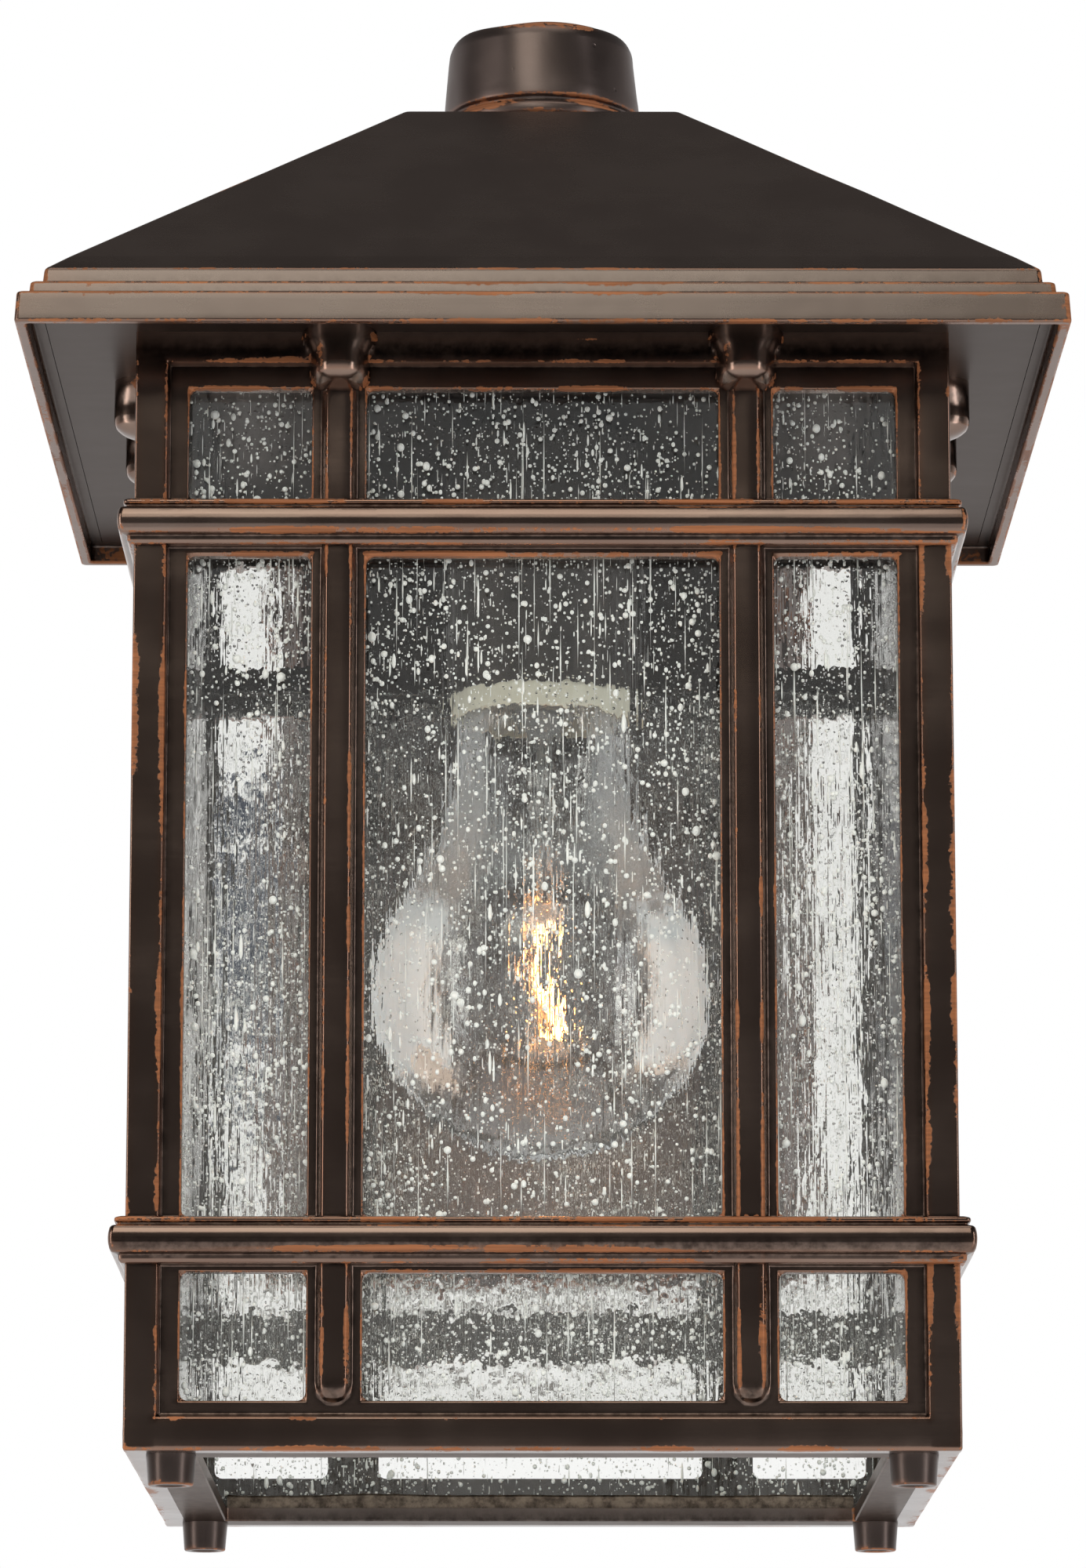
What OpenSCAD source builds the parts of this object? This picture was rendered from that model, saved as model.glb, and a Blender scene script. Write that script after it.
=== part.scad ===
// Outdoor wall light: a square lantern with seeded glass, a stepped hood, one bulb and a wall plate.
// The wall is the plane y = 0 and the lantern hangs in front of it, on the -Y side. +Z is up.
// Heights inside the lantern are counted from the underside of its feet.

/* [Place on the wall] */
// Gap between the hood's rim and the face of the wall plate
hood_gap = 3.5; // [1.5:0.5:35]
// Drop from the wall plate's centre to the underside of the feet
body_drop = 133.5; // [130:0.5:140]

/* [Lantern body] */
// Outside width and depth of the square body
body_w = 138; // [132:1:146]
// Thickness of a cast side panel
panel_t = 4; // [3.5:0.1:5]
// Width of the flat corner stile on each side of a panel
stile_w = 5.5; // [4.5:0.1:6.5]
// Width of the sunk step between the stile and the glass
step_w = 3.5; // [2.5:0.1:4.5]
// Depth by which the step and the mullion sides are sunk
sunk = 1.4; // [0.8:0.1:1.8]
// Height of the flat bottom rail
bottom_rail_h = 5.8; // [4.5:0.1:7]
// Height of the sunk step above the bottom rail
bottom_step_h = 2.6; // [2:0.1:3.5]
// Height of the lower row of glass
lower_pane_h = 21.3; // [18:0.1:26]
// Height of the lower band zone
lower_band_h = 9.1; // [8.8:0.1:11]
// Height of the middle row of glass
middle_pane_h = 112.8; // [105:0.2:120]
// Height of the upper band zone
upper_band_h = 9.4; // [8.8:0.1:11]
// Height of the upper row of glass
upper_pane_h = 19.7; // [19.2:0.1:24]
// Height of the sunk step under the top rail
top_step_h = 4.2; // [3:0.1:5]
// Height of the flat top rail
top_rail_h = 5.5; // [4.5:0.1:6.5]
// Corner radius of each glass opening
opening_r = 0.7; // [0.3:0.1:1]

/* [Bands, mullions and corbels] */
// How far a band's main face stands out of the stile
band_out = 2.7; // [2:0.1:3.2]
// Height of a band's main face
band_face_h = 4.4; // [3.8:0.1:4.8]
// Height of the thin lip above the main face
band_lip_h = 1.65; // [1.4:0.05:1.8]
// Height of the lip below the main face
band_foot_h = 1.9; // [1.6:0.05:2.1]
// Full width of a mullion
mullion_w = 9.3; // [8:0.1:10.5]
// Width of the raised bead at its base
bead_w = 6.2; // [5:0.1:7]
// Width of the bead's flat top
bead_flat_w = 4.1; // [3.5:0.1:4.8]
// Mullions on the front and back panels
front_mullions = 2; // [2, 4]
// Mullions on the left and right panels
side_mullions = 3; // [2, 3, 4]
// Width of a corbel at the top of each mullion
corbel_w = 8.6; // [7.5:0.1:9.5]
// How far a corbel stands out of the stile
corbel_out = 5.8; // [4.5:0.1:6.5]
// Height of a corbel, down from the soffit
corbel_h = 9.5; // [8:0.1:10]

/* [Glass] */
// Thickness of the seeded glass
glass_t = 3; // [2.5:0.1:3.5]
// Play between a pane and the piece above it
glass_play = 0.5; // [0.4:0.1:1]

/* [Base and feet] */
// Width of the base ring's flange inside the panels
flange_w = 7.5; // [6:0.5:9]
// Thickness of the base ring
ring_t = 2.4; // [2:0.1:3]
// Height of a foot below the body
foot_h = 5.1; // [4:0.1:7]
// Diameter of a foot where it meets the body
foot_d = 8.3; // [7:0.1:9]
// Diameter of a foot at its tip
foot_tip_d = 7.6; // [6.5:0.1:8]
// Distance of a foot's centre from the body's outside
foot_inset = 7.5; // [7:0.1:8.5]
// Height of the glass stops on the base ring
stop_h = 2.8; // [2:0.1:4]
// Thickness of the glass stops
stop_t = 3.3; // [2.5:0.1:4]

/* [Hood] */
// Outside width of the hood's rim
hood_w = 177; // [172:1:186]
// How far the rim hangs below the soffit
rim_drop = 3.5; // [2.5:0.1:5]
// Height of the rim's outer face
fascia_h = 5.4; // [4:0.1:6.5]
// Height of the first step
step_1_h = 2.3; // [1.8:0.1:3]
// Height of the second step
step_2_h = 2.8; // [2:0.1:3.5]
// Set-back of the first step
step_1_in = 2.25; // [1.5:0.05:3]
// Set-back of the second step from the first
step_2_in = 2.1; // [1.5:0.05:3]
// Rise of the sloping roof
roof_rise = 46; // [38:1:52]
// Width of the flat on top of the roof
roof_top_w = 48.8; // [44:0.2:54]
// Wall thickness of the hood
hood_t = 2; // [1.6:0.1:2.4]
// Thickness of the ceiling plate
ceiling_t = 1.2; // [1:0.1:1.6]

/* [Finial] */
// Diameter of the finial's base ring
finial_base_d = 37.4; // [35:0.2:40]
// Diameter of the drum at its foot
finial_d = 36; // [33:0.2:37]
// Diameter of the drum at its top edge
finial_top_d = 33; // [29:0.2:35]
// Height of the finial
finial_h = 20.4; // [18:0.2:24]
// Height of the base ring
finial_base_h = 3.4; // [2:0.1:4]
// Height of the groove above the base ring
finial_groove_h = 0.9; // [0.4:0.1:1.2]
// Rounding of the top edge
finial_round_r = 2.2; // [1:0.1:3]
// Thickness of the finial's seat washer
seat_t = 0.7; // [0.5:0.1:1]

/* [Socket and threaded rod] */
// Outside diameter of the hollow threaded rod
rod_d = 10.2; // [9.5:0.1:11]
// Bore of the threaded rod
rod_bore_d = 7; // [6:0.1:7.5]
// Length of rod inside the finial
rod_in_finial = 10.5; // [8:0.5:12]
// Outside diameter of the socket cup
cup_d = 34; // [33.6:0.1:36]
// Height of the socket cup
cup_h = 44.5; // [42:0.5:46]
// Wall of the socket cup
cup_t = 0.7; // [0.5:0.1:0.8]
// How far the insulating liner shows below the cup
liner_drop = 7.4; // [5:0.1:9]
// Wall of the insulating liner
liner_t = 1.1; // [0.9:0.1:1.2]
// Bore of the screw shell
screw_shell_d = 26.9; // [26.8:0.05:27.2]
// Wall of the screw shell
screw_shell_t = 0.4; // [0.3:0.05:0.5]
// Width of the cross strap under the ceiling
strap_w = 14; // [12:0.5:16]
// Thickness of the cross strap
strap_t = 1.5; // [1.2:0.1:2]

/* [Bulb] */
// Largest diameter of the bulb's glass
bulb_d = 60; // [55:1:62]
// Diameter of the bulb's neck
neck_d = 29.4; // [28:0.1:29.6]
// Radius of the shoulder between globe and neck
shoulder_r = 50; // [35:1:60]
// Height of the globe's centre
globe_z = 93.3; // [88:0.1:100]
// Wall of the bulb's glass
bulb_wall = 0.7; // [0.6:0.1:1]
// Diameter of the bulb's threaded cap
cap_d = 26.2; // [26:0.05:26.3]
// Height of the bulb's threaded cap
cap_h = 24.5; // [22:0.5:26]
// Pitch of the cap's thread
cap_pitch = 3.63; // [3.5:0.01:3.8]
// Length of the filament
filament_l = 17; // [14:0.5:20]

/* [Arm] */
// Outside diameter of the arm tube
arm_d = 12.7; // [12:0.1:14]
// Wall of the arm tube
arm_wall = 1.5; // [1:0.1:2]
// Diameter of the arm's two collars
collar_d = 19; // [18:0.1:19.2]
// Thickness of each collar
collar_t = 3; // [2:0.1:4]
// Thickness of each lock nut
lock_nut_t = 3; // [2.5:0.1:3.2]

/* [Wall plate] */
// Width of the wall plate
plate_w = 104; // [102:1:112]
// Height of the wall plate
plate_h = 159; // [156:1:166]
// Depth of the wall plate from the wall
plate_depth = 16; // [15.5:0.1:17]
// Wall thickness of the plate
plate_t = 1.6; // [1.2:0.1:2]
// Depth of the plate's first step
plate_step_1 = 4; // [3:0.1:5]
// Depth of the plate's second step
plate_step_2 = 3.5; // [3:0.1:4]
// Set-back of the second step
plate_step_in = 2.5; // [2:0.1:3]
// Set-back of the bevel at the front face
bevel_in = 3.5; // [2:0.1:4]
// Thickness of the foam gasket
gasket_t = 1; // [0.8:0.1:1.5]
// Width of the foam gasket
gasket_w = 3; // [2.5:0.1:4]

/* [Mounting bar] */
// Length of the upright bar
bar_l = 106; // [104:1:116]
// Width of the bar
bar_w = 22; // [20:0.5:26]
// Thickness of the bar
bar_t = 2; // [1.6:0.1:2.4]
// Spacing of the two box-screw slots
slot_spacing = 83.3; // [83.3:0.1:84]
// Width of a box-screw slot
slot_w = 4.8; // [4.4:0.1:5.2]
// Length of a box-screw slot
slot_l = 12; // [8:0.5:14]
// Spacing of the two plate studs
stud_spacing = 76.2; // [72:0.1:78]
// Diameter of a plate stud
stud_d = 4; // [3.5:0.1:4.5]
// Width across the flats of a cap nut
cap_nut_af = 8.5; // [8:0.1:9]
// Height of a cap nut
cap_nut_h = 8.5; // [7.5:0.1:10]
// Depth of the thread inside a cap nut
cap_nut_bore = 5.5; // [4.5:0.1:6]

/* [Wires] */
// Diameter of a lead over its sleeve
lead_d = 2.1; // [1.8:0.1:2.3]
// Diameter of a wire connector at its mouth
connector_d = 9; // [8:0.1:10]
// Length of a wire connector
connector_l = 18; // [15:0.5:20]

/* [Hidden] */

$fn = 64;
tiny = 0.01;
half_turn = 180;
quarter_turn = 90;

bronze = "#3a2f29";
bronze_inside = "#2c2624";
steel = "#a9a9a6";
zinc = "#c4c3ba";
brass = "#b8964f";
cream = "#e6dcc0";
clear_glass = [0.82, 0.88, 0.86, 0.4];
black = "#1b1b1b";

// Clearances used between pieces
close_fit = 0.05;
running_fit = 0.06;
apart = 0.3;

half_body = body_w / 2;
ring_z = foot_h;
ring_top = ring_z + ring_t;
lower_pane_z = foot_h + bottom_rail_h + bottom_step_h;
lower_band_z = lower_pane_z + lower_pane_h;
middle_pane_z = lower_band_z + lower_band_h;
upper_band_z = middle_pane_z + middle_pane_h;
upper_pane_z = upper_band_z + upper_band_h;
top_step_z = upper_pane_z + upper_pane_h;
top_rail_z = top_step_z + top_step_h;
soffit_z = top_rail_z + top_rail_h;
opening_half = half_body - stile_w - step_w;
panel_inner = half_body - panel_t;
pane_half_w = panel_inner - glass_t - glass_play;

rim_z = soffit_z - rim_drop;
fascia_top = rim_z + fascia_h;
step_1_top = fascia_top + step_1_h;
step_2_top = step_1_top + step_2_h;
roof_top = step_2_top + roof_rise;
step_1_w = hood_w - 2 * step_1_in;
step_2_w = step_1_w - 2 * step_2_in;
ceiling_top = soffit_z + ceiling_t;
ceiling_w = step_1_w - 2 * hood_t - 2 * running_fit;

finial_z = roof_top + seat_t + apart;
rod_top = finial_z + rod_in_finial;
strap_z = soffit_z - strap_t;
cup_top = strap_z;
cup_z = cup_top - cup_h;
liner_z = cup_z - liner_drop;
liner_r = cup_d / 2 - cup_t - close_fit;
rod_nut_t = 2.8;
rod_nut_af = 14;
rod_z = cup_top - cup_t - rod_nut_t - 1;
socket_base_t = 7;
socket_base_top = rod_z - 4;
socket_base_z = socket_base_top - socket_base_t;
liner_h = socket_base_top - liner_z;
contact_t = 0.5;
insulator_h = 2.2;
tip_h = 1.2;
tip_gap = 0.3;
contact_z = socket_base_z - contact_t;
cap_top = contact_z - tip_gap - tip_h - insulator_h;
cap_z = cap_top - cap_h;
screw_shell_r = screw_shell_d / 2;
screw_shell_len = 26;

arm_z = upper_pane_z + upper_pane_h / 2;
// Distance from the wall to the lantern's upright axis
reach = plate_depth + hood_gap + hood_w / 2;
plate_front = reach - plate_depth;
arm_inner_end = panel_inner - lock_nut_t - 2.5;
arm_wall_end = plate_front + plate_t + lock_nut_t + 1;
cell_face = half_body - sunk;
stud_x = stud_spacing / 2;
bar_ear_w = stud_spacing + 12;
stud_out = 3.5;

// Puts a shape given in the lantern's own heights in front of the wall
module at_lantern() {
    translate([0, -reach, -body_drop]) children();
}

// A square slab centred on the axis, between two heights
module slab(w, z0, z1) {
    translate([-w / 2, -w / 2, z0]) cube([w, w, z1 - z0]);
}

// A ridge whose two long sides lean in from width w0 to width w1
module wedge(w0, w1, z0, z1) {
    rotate([quarter_turn, 0, 0]) translate([0, 0, -w0 / 2]) linear_extrude(height = w0)
        polygon([[-w0 / 2, z0], [w0 / 2, z0], [w1 / 2, z1], [-w1 / 2, z1]]);
}

// A square frustum between two heights, made of two crossed wedges
module frustum(w0, w1, z0, z1) {
    intersection() {
        wedge(w0, w1, z0, z1);
        rotate([0, 0, quarter_turn]) wedge(w0, w1, z0, z1);
    }
}

// A hexagonal prism measured across its flats
module hex(af, h) {
    cylinder(d = af / cos(30), h = h, $fn = 6);
}

// A rectangle with rounded corners, from corner a to corner b
module round_rect(a, b, r) {
    union() {
        translate([a[0] + r, a[1]]) square([b[0] - a[0] - 2 * r, b[1] - a[1]]);
        translate([a[0], a[1] + r]) square([b[0] - a[0], b[1] - a[1] - 2 * r]);
        for (x = [a[0] + r, b[0] - r], y = [a[1] + r, b[1] - r])
            translate([x, y]) circle(r = r, $fn = 24);
    }
}

// Round coordinates of a tube's ring about a point, square to the direction of travel
function unit(v) = v / norm(v);
function side_of(d) = unit(cross(d, abs(d[0]) > 0.9 ? [0, 1, 0] : [1, 0, 0]));
function carry(s, d) = unit(s - (s * d) * d);
function spline(p0, p1, p2, p3, t) = 0.5 * (2 * p1 + (p2 - p0) * t
    + (2 * p0 - 5 * p1 + 4 * p2 - p3) * t * t + (3 * p1 - p0 - 3 * p2 + p3) * t * t * t);
function smooth(route, parts) = let (n = len(route)) concat(
    [for (i = [0 : n - 2], k = [0 : parts - 1])
        spline(route[max(i - 1, 0)], route[i], route[i + 1], route[min(i + 2, n - 1)], k / parts)],
    [route[n - 1]]);
function headings(p) = let (n = len(p))
    [for (i = [0 : n - 1]) unit(p[min(i + 1, n - 1)] - p[max(i - 1, 0)])];
function sides_along(h, i = 0, s = undef) = i == len(h) ? []
    : let (now = is_undef(s) ? side_of(h[0]) : carry(s, h[i])) concat([now], sides_along(h, i + 1, now));

// A round tube swept along a smooth route
module lead(route, d, parts = 2) {
    sides = 8;
    p = smooth(route, parts);
    h = headings(p);
    s = sides_along(h);
    n = len(p);
    points = [for (i = [0 : n - 1], k = [0 : sides - 1])
        p[i] + d / 2 * (cos(k * 360 / sides) * s[i] + sin(k * 360 / sides) * cross(h[i], s[i]))];
    walls = [for (i = [0 : n - 2], k = [0 : sides - 1]) let (
        a = i * sides + k, b = i * sides + (k + 1) % sides)
        each [[a, b, b + sides], [a, b + sides, a + sides]]];
    ends = [[for (k = [0 : sides - 1]) sides - 1 - k], [for (k = [0 : sides - 1]) (n - 1) * sides + k]];
    polyhedron(points = points, faces = [for (f = concat(walls, ends)) [for (i = [len(f) - 1 : -1 : 0]) f[i]]]);
}

// Places of the mullions' centres across a panel
function mullion_x(count) = count == 2 ? [-body_w / 4, body_w / 4]
    : [for (i = [1 : count]) -half_body + i * body_w / (count + 1)];

// Side edges of the openings between mullions, from left to right
function opening_edges(count) = let (m = mullion_x(count), n = len(m))
    [for (i = [0 : n]) [i == 0 ? -opening_half : m[i - 1] + mullion_w / 2,
        i == n ? opening_half : m[i] - mullion_w / 2]];

rows = [[lower_pane_z, lower_band_z], [middle_pane_z, upper_band_z], [upper_pane_z, top_step_z]];

// Outline of a band's cross-section: distance out of the stile against height
function band_outline(top) = let (
    lip = top - band_lip_h, face = lip - band_face_h, foot = face - band_foot_h)
    [[-sunk, foot], [0.7, foot], [1.2, foot + 0.5], [1.2, face - 0.5], [1.9, face - 0.2],
        [band_out - 0.2, face], [band_out, face + 0.5], [band_out, lip - 0.5], [band_out - 0.4, lip],
        [1.4, lip + 0.1], [1.4, lip + 0.45], [1.9, lip + 0.65], [1.8, top - 0.4], [1.3, top - 0.1],
        [0, top], [-sunk, top]];

// Wedge that mitres a panel and what stands out of it at both corners
module mitre(w = body_w) {
    reach_out = 20;
    linear_extrude(height = soffit_z)
        polygon([[0, 0], [-w / 2 - reach_out, -w / 2 - reach_out], [w / 2 + reach_out, -w / 2 - reach_out]]);
}

// One cast side panel, drawn as the front one
module panel(count, solid_cell = false) {
    bands = [lower_band_z + lower_band_h, upper_band_z + upper_band_h];
    difference() {
        intersection() {
            mitre();
            union() {
                difference() {
                    translate([-half_body, -half_body, foot_h])
                        cube([body_w, panel_t, soffit_z - foot_h]);
                    translate([-half_body + stile_w, -half_body - tiny, foot_h + bottom_rail_h])
                        cube([body_w - 2 * stile_w, sunk + tiny, top_rail_z - foot_h - bottom_rail_h]);
                    openings(count, solid_cell);
                }
                for (top = bands) band(top);
                for (x = mullion_x(count)) {
                    mullion(x, lower_pane_z - apart, lower_band_z + tiny);
                    mullion(x, middle_pane_z - tiny, upper_band_z + tiny);
                    mullion(x, upper_pane_z - tiny, top_rail_z + tiny);
                    corbel(x);
                }
            }
        }
        for (x = [-1, 1] * screw_x) translate([x, -half_body + panel_t / 2, soffit_z - screw_hold])
            cylinder(d = screw_d + 2 * close_fit, h = screw_hold + tiny);
        if (solid_cell) translate([0, -half_body - panel_t, arm_z]) rotate([-quarter_turn, 0, 0])
            cylinder(d = arm_d + 2 * close_fit, h = 3 * panel_t);
    }
}

// Openings for the glass, through a panel
module openings(count, solid_cell) {
    edges = opening_edges(count);
    middle = floor(len(edges) / 2);
    for (row = [0 : len(rows) - 1], i = [0 : len(edges) - 1])
        if (!(solid_cell && row == len(rows) - 1 && i == middle))
            translate([0, -half_body + panel_t + tiny, 0]) rotate([quarter_turn, 0, 0])
                linear_extrude(height = panel_t + 2 * tiny)
                    round_rect([edges[i][0], rows[row][0]], [edges[i][1], rows[row][1]], opening_r);
}

// A moulded band across a panel
module band(top) {
    w = body_w + 2 * band_out;
    translate([-w / 2, -half_body, 0]) rotate([quarter_turn, 0, quarter_turn])
        linear_extrude(height = w)
            polygon([for (p = band_outline(top)) [-p[0], p[1]]]);
}

// The raised bead of a mullion between two heights
module mullion(x, z0, z1) {
    translate([x, -half_body + sunk, z0]) linear_extrude(height = z1 - z0)
        polygon([[-bead_w / 2, tiny], [-bead_w / 2, 0], [-bead_flat_w / 2, -sunk + 0.2],
            [bead_flat_w / 2, -sunk + 0.2], [bead_w / 2, 0], [bead_w / 2, tiny]]);
}

// A corbel under the soffit, with rounded front edges and a sloping lower end
module corbel(x) {
    round_r = 2.4;
    slope = 1.3;
    front = half_body + corbel_out;
    back = half_body - sunk;
    intersection() {
        translate([x, 0, soffit_z - corbel_h]) linear_extrude(height = corbel_h) union() {
            translate([-corbel_w / 2, -front + round_r]) square([corbel_w, front - round_r - back]);
            translate([-corbel_w / 2 + round_r, -front]) square([corbel_w - 2 * round_r, front - back]);
            for (side = [-1, 1]) translate([side * (corbel_w / 2 - round_r), -front + round_r])
                circle(r = round_r, $fn = 32);
        }
        translate([x - corbel_w, 0, 0]) rotate([quarter_turn, 0, quarter_turn])
            linear_extrude(height = 2 * corbel_w)
                polygon([[-back, soffit_z], [-front, soffit_z], [-front, soffit_z - corbel_h + slope],
                    [-front + slope, soffit_z - corbel_h], [-back, soffit_z - corbel_h]]);
    }
}

// Screws that hold the panels to the ceiling plate
screw_in = 17;
screw_x = half_body - screw_in;
screw_d = 2.2;
screw_hold = 6;
screw_head_d = 4.2;
screw_head_h = 1.4;

module front_panel() {
    color(bronze) at_lantern() panel(front_mullions);
}

module back_panel() {
    color(bronze) at_lantern() rotate([0, 0, half_turn]) panel(front_mullions, true);
}

module left_panel() {
    color(bronze) at_lantern() rotate([0, 0, -quarter_turn]) panel(side_mullions);
}

module right_panel() {
    color(bronze) at_lantern() rotate([0, 0, quarter_turn]) panel(side_mullions);
}

pane_top = soffit_z - glass_play;

// A pane behind the front panel
module pane(x0, x1, z0, z1) {
    translate([x0, -panel_inner, z0]) cube([x1 - x0, glass_t, z1 - z0]);
}

module front_glass() {
    color(clear_glass) at_lantern() pane(-pane_half_w, pane_half_w, ring_top, pane_top);
}

// The back glass leaves out the solid cell that carries the arm
module back_glass() {
    split_z = upper_band_z + upper_band_h / 2;
    cell_edge = opening_edges(front_mullions)[front_mullions / 2][1] + mullion_w / 4;
    color(clear_glass) at_lantern() rotate([0, 0, half_turn]) union() {
        pane(-pane_half_w, pane_half_w, ring_top, split_z - glass_play / 2);
        pane(-pane_half_w, -cell_edge, split_z + glass_play / 2, pane_top);
        pane(cell_edge, pane_half_w, split_z + glass_play / 2, pane_top);
    }
}

module left_glass() {
    color(clear_glass) at_lantern() rotate([0, 0, -quarter_turn])
        pane(-pane_half_w, pane_half_w, ring_top, pane_top);
}

module right_glass() {
    color(clear_glass) at_lantern() rotate([0, 0, quarter_turn])
        pane(-pane_half_w, pane_half_w, ring_top, pane_top);
}

// Four strips behind the panes, between two heights
module glass_stops(z0, z1) {
    inner = panel_inner - glass_t - stop_t;
    length = 2 * (inner - 1);
    for (turn = [0 : quarter_turn : 3 * quarter_turn]) rotate([0, 0, turn])
        translate([-length / 2, inner, z0]) cube([length, stop_t - close_fit, z1 - z0]);
}

module lower_glass_stops() {
    color(bronze_inside) at_lantern() glass_stops(ring_top, ring_top + stop_h);
}

module upper_glass_stops() {
    color(bronze_inside) at_lantern() glass_stops(soffit_z - stop_h, soffit_z);
}

module base_ring() {
    inner = panel_inner - flange_w;
    color(bronze) at_lantern() difference() {
        slab(2 * panel_inner, ring_z, ring_top);
        slab(2 * inner, ring_z - tiny, ring_top + tiny);
    }
}

module feet() {
    at = half_body - foot_inset;
    color(bronze) at_lantern() for (x = [-at, at], y = [-at, at])
        translate([x, y, 0]) cylinder(d1 = foot_tip_d, d2 = foot_d, h = foot_h);
}

module panel_screws() {
    color(zinc) at_lantern() for (turn = [0 : quarter_turn : 3 * quarter_turn], x = [-1, 1] * screw_x)
        rotate([0, 0, turn]) translate([x, -half_body + panel_t / 2, 0]) union() {
            translate([0, 0, soffit_z - screw_hold + 0.5])
                cylinder(d = screw_d, h = ceiling_t + screw_hold - 0.5 + tiny);
            translate([0, 0, ceiling_top]) cylinder(d = screw_head_d, h = screw_head_h);
        }
}

// The hood is one casting: a web joins the rim to the steps and the steps to the roof
module hood() {
    web = 1;
    inner_rim = hood_w - 2 * hood_t;
    inner_1 = step_1_w - 2 * hood_t;
    inner_2 = step_2_w - 2 * hood_t;
    inner_top = roof_top_w - hood_t;
    color(bronze) at_lantern() difference() {
        union() {
            slab(hood_w, rim_z, fascia_top);
            slab(step_1_w, fascia_top - tiny, step_1_top);
            slab(step_2_w, step_1_top - tiny, step_2_top);
            frustum(step_2_w, roof_top_w, step_2_top, roof_top);
        }
        slab(inner_rim, rim_z - tiny, soffit_z);
        slab(inner_1, soffit_z - tiny, step_1_top - web);
        frustum(inner_2, inner_top, step_1_top - web - tiny, roof_top - hood_t);
        translate([0, 0, roof_top - 2 * hood_t]) cylinder(d = rod_d + 4 * close_fit, h = 3 * hood_t);
    }
}

module ceiling_plate() {
    color(bronze_inside) at_lantern() difference() {
        slab(ceiling_w, soffit_z, ceiling_top);
        translate([0, 0, soffit_z - tiny]) cylinder(d = rod_d + 2 * close_fit, h = ceiling_t + 2 * tiny);
        for (turn = [0 : quarter_turn : 3 * quarter_turn], x = [-1, 1] * screw_x)
            rotate([0, 0, turn]) translate([x, -half_body + panel_t / 2, soffit_z - tiny])
                cylinder(d = screw_d + 2 * close_fit, h = ceiling_t + 2 * tiny);
        for (y = [-1, 1] * strap_screw_y) translate([0, y, soffit_z - tiny])
            cylinder(d = strap_screw_d + 2 * close_fit, h = ceiling_t + 2 * tiny);
    }
}

module finial() {
    base_r = finial_base_d / 2;
    foot_r = finial_d / 2;
    top_r = finial_top_d / 2;
    groove_r = foot_r - 0.7;
    drum_z = finial_base_h + finial_groove_h;
    dome = 0.5;
    shoulder_z = finial_h - dome - finial_round_r;
    bore_r = rod_d / 2 + running_fit;
    color(bronze) at_lantern() translate([0, 0, finial_z]) difference() {
        rotate_extrude() union() {
            polygon([[0, 0], [base_r - 1.1, 0], [base_r, 0.9], [base_r - 0.2, finial_base_h - 0.6],
                [base_r - 0.8, finial_base_h], [groove_r, finial_base_h], [groove_r, drum_z],
                [foot_r, drum_z], [top_r, shoulder_z], [top_r - finial_round_r, shoulder_z],
                [top_r - finial_round_r, shoulder_z + finial_round_r], [0, finial_h]]);
            intersection() {
                translate([top_r - finial_round_r, shoulder_z]) circle(r = finial_round_r);
                translate([top_r - finial_round_r, shoulder_z]) square(finial_round_r);
            }
        }
        translate([0, 0, -tiny]) cylinder(r = bore_r, h = rod_in_finial + 1);
    }
}

module finial_seat() {
    color(brass) at_lantern() translate([0, 0, roof_top]) difference() {
        cylinder(d = finial_base_d - 5, h = seat_t);
        translate([0, 0, -tiny]) cylinder(d = rod_d + 2 * close_fit, h = seat_t + 2 * tiny);
    }
}

module threaded_rod() {
    color(zinc) at_lantern() translate([0, 0, rod_z]) difference() {
        cylinder(d = rod_d, h = rod_top - rod_z);
        translate([0, 0, -tiny]) cylinder(d = rod_bore_d, h = rod_top - rod_z + 2 * tiny);
    }
}

module rod_nuts() {
    color(zinc) at_lantern() for (z = [cup_top - cup_t - rod_nut_t, ceiling_top, roof_top - hood_t - rod_nut_t])
        translate([0, 0, z]) difference() {
            hex(rod_nut_af, rod_nut_t);
            translate([0, 0, -tiny]) cylinder(d = rod_d + 2 * close_fit, h = rod_nut_t + 2 * tiny);
        }
}

strap_end = panel_inner - glass_t - stop_t - 1;
strap_screw_in = 7.7;
strap_screw_y = strap_end - strap_screw_in;
strap_screw_d = 3.8;

module cross_strap() {
    color(bronze_inside) at_lantern() difference() {
        translate([-strap_w / 2, -strap_end, strap_z]) cube([strap_w, 2 * strap_end, strap_t]);
        translate([0, 0, strap_z - tiny]) cylinder(d = rod_d + 2 * close_fit, h = strap_t + 2 * tiny);
        for (y = [-1, 1] * strap_screw_y) translate([0, y, strap_z - tiny])
            cylinder(d = strap_screw_d + 2 * close_fit, h = strap_t + 2 * tiny);
    }
}

module strap_screws() {
    head_h = 1.8;
    head_d = 7;
    nut_h = 2.4;
    nut_af = 6.4;
    color(zinc) at_lantern() for (y = [-1, 1] * strap_screw_y) translate([0, y, 0]) union() {
        translate([0, 0, strap_z - head_h]) cylinder(d1 = head_d - 2, d2 = head_d, h = head_h);
        translate([0, 0, strap_z - tiny]) cylinder(d = strap_screw_d, h = strap_t + ceiling_t + 2 * tiny);
        translate([0, 0, ceiling_top]) hex(nut_af, nut_h);
    }
}

lead_hole_d = 7.2;
lead_z = socket_base_top + 3;

module socket_cup() {
    color(black) at_lantern() difference() {
        translate([0, 0, cup_z]) cylinder(d = cup_d, h = cup_h);
        translate([0, 0, cup_z - tiny]) cylinder(d = cup_d - 2 * cup_t, h = cup_h - cup_t + tiny);
        translate([0, 0, cup_z]) cylinder(d = rod_d + 2 * close_fit, h = cup_h + tiny);
        translate([0, 0, lead_z]) rotate([-quarter_turn, 0, 0]) cylinder(d = lead_hole_d, h = cup_d);
    }
}

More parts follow.
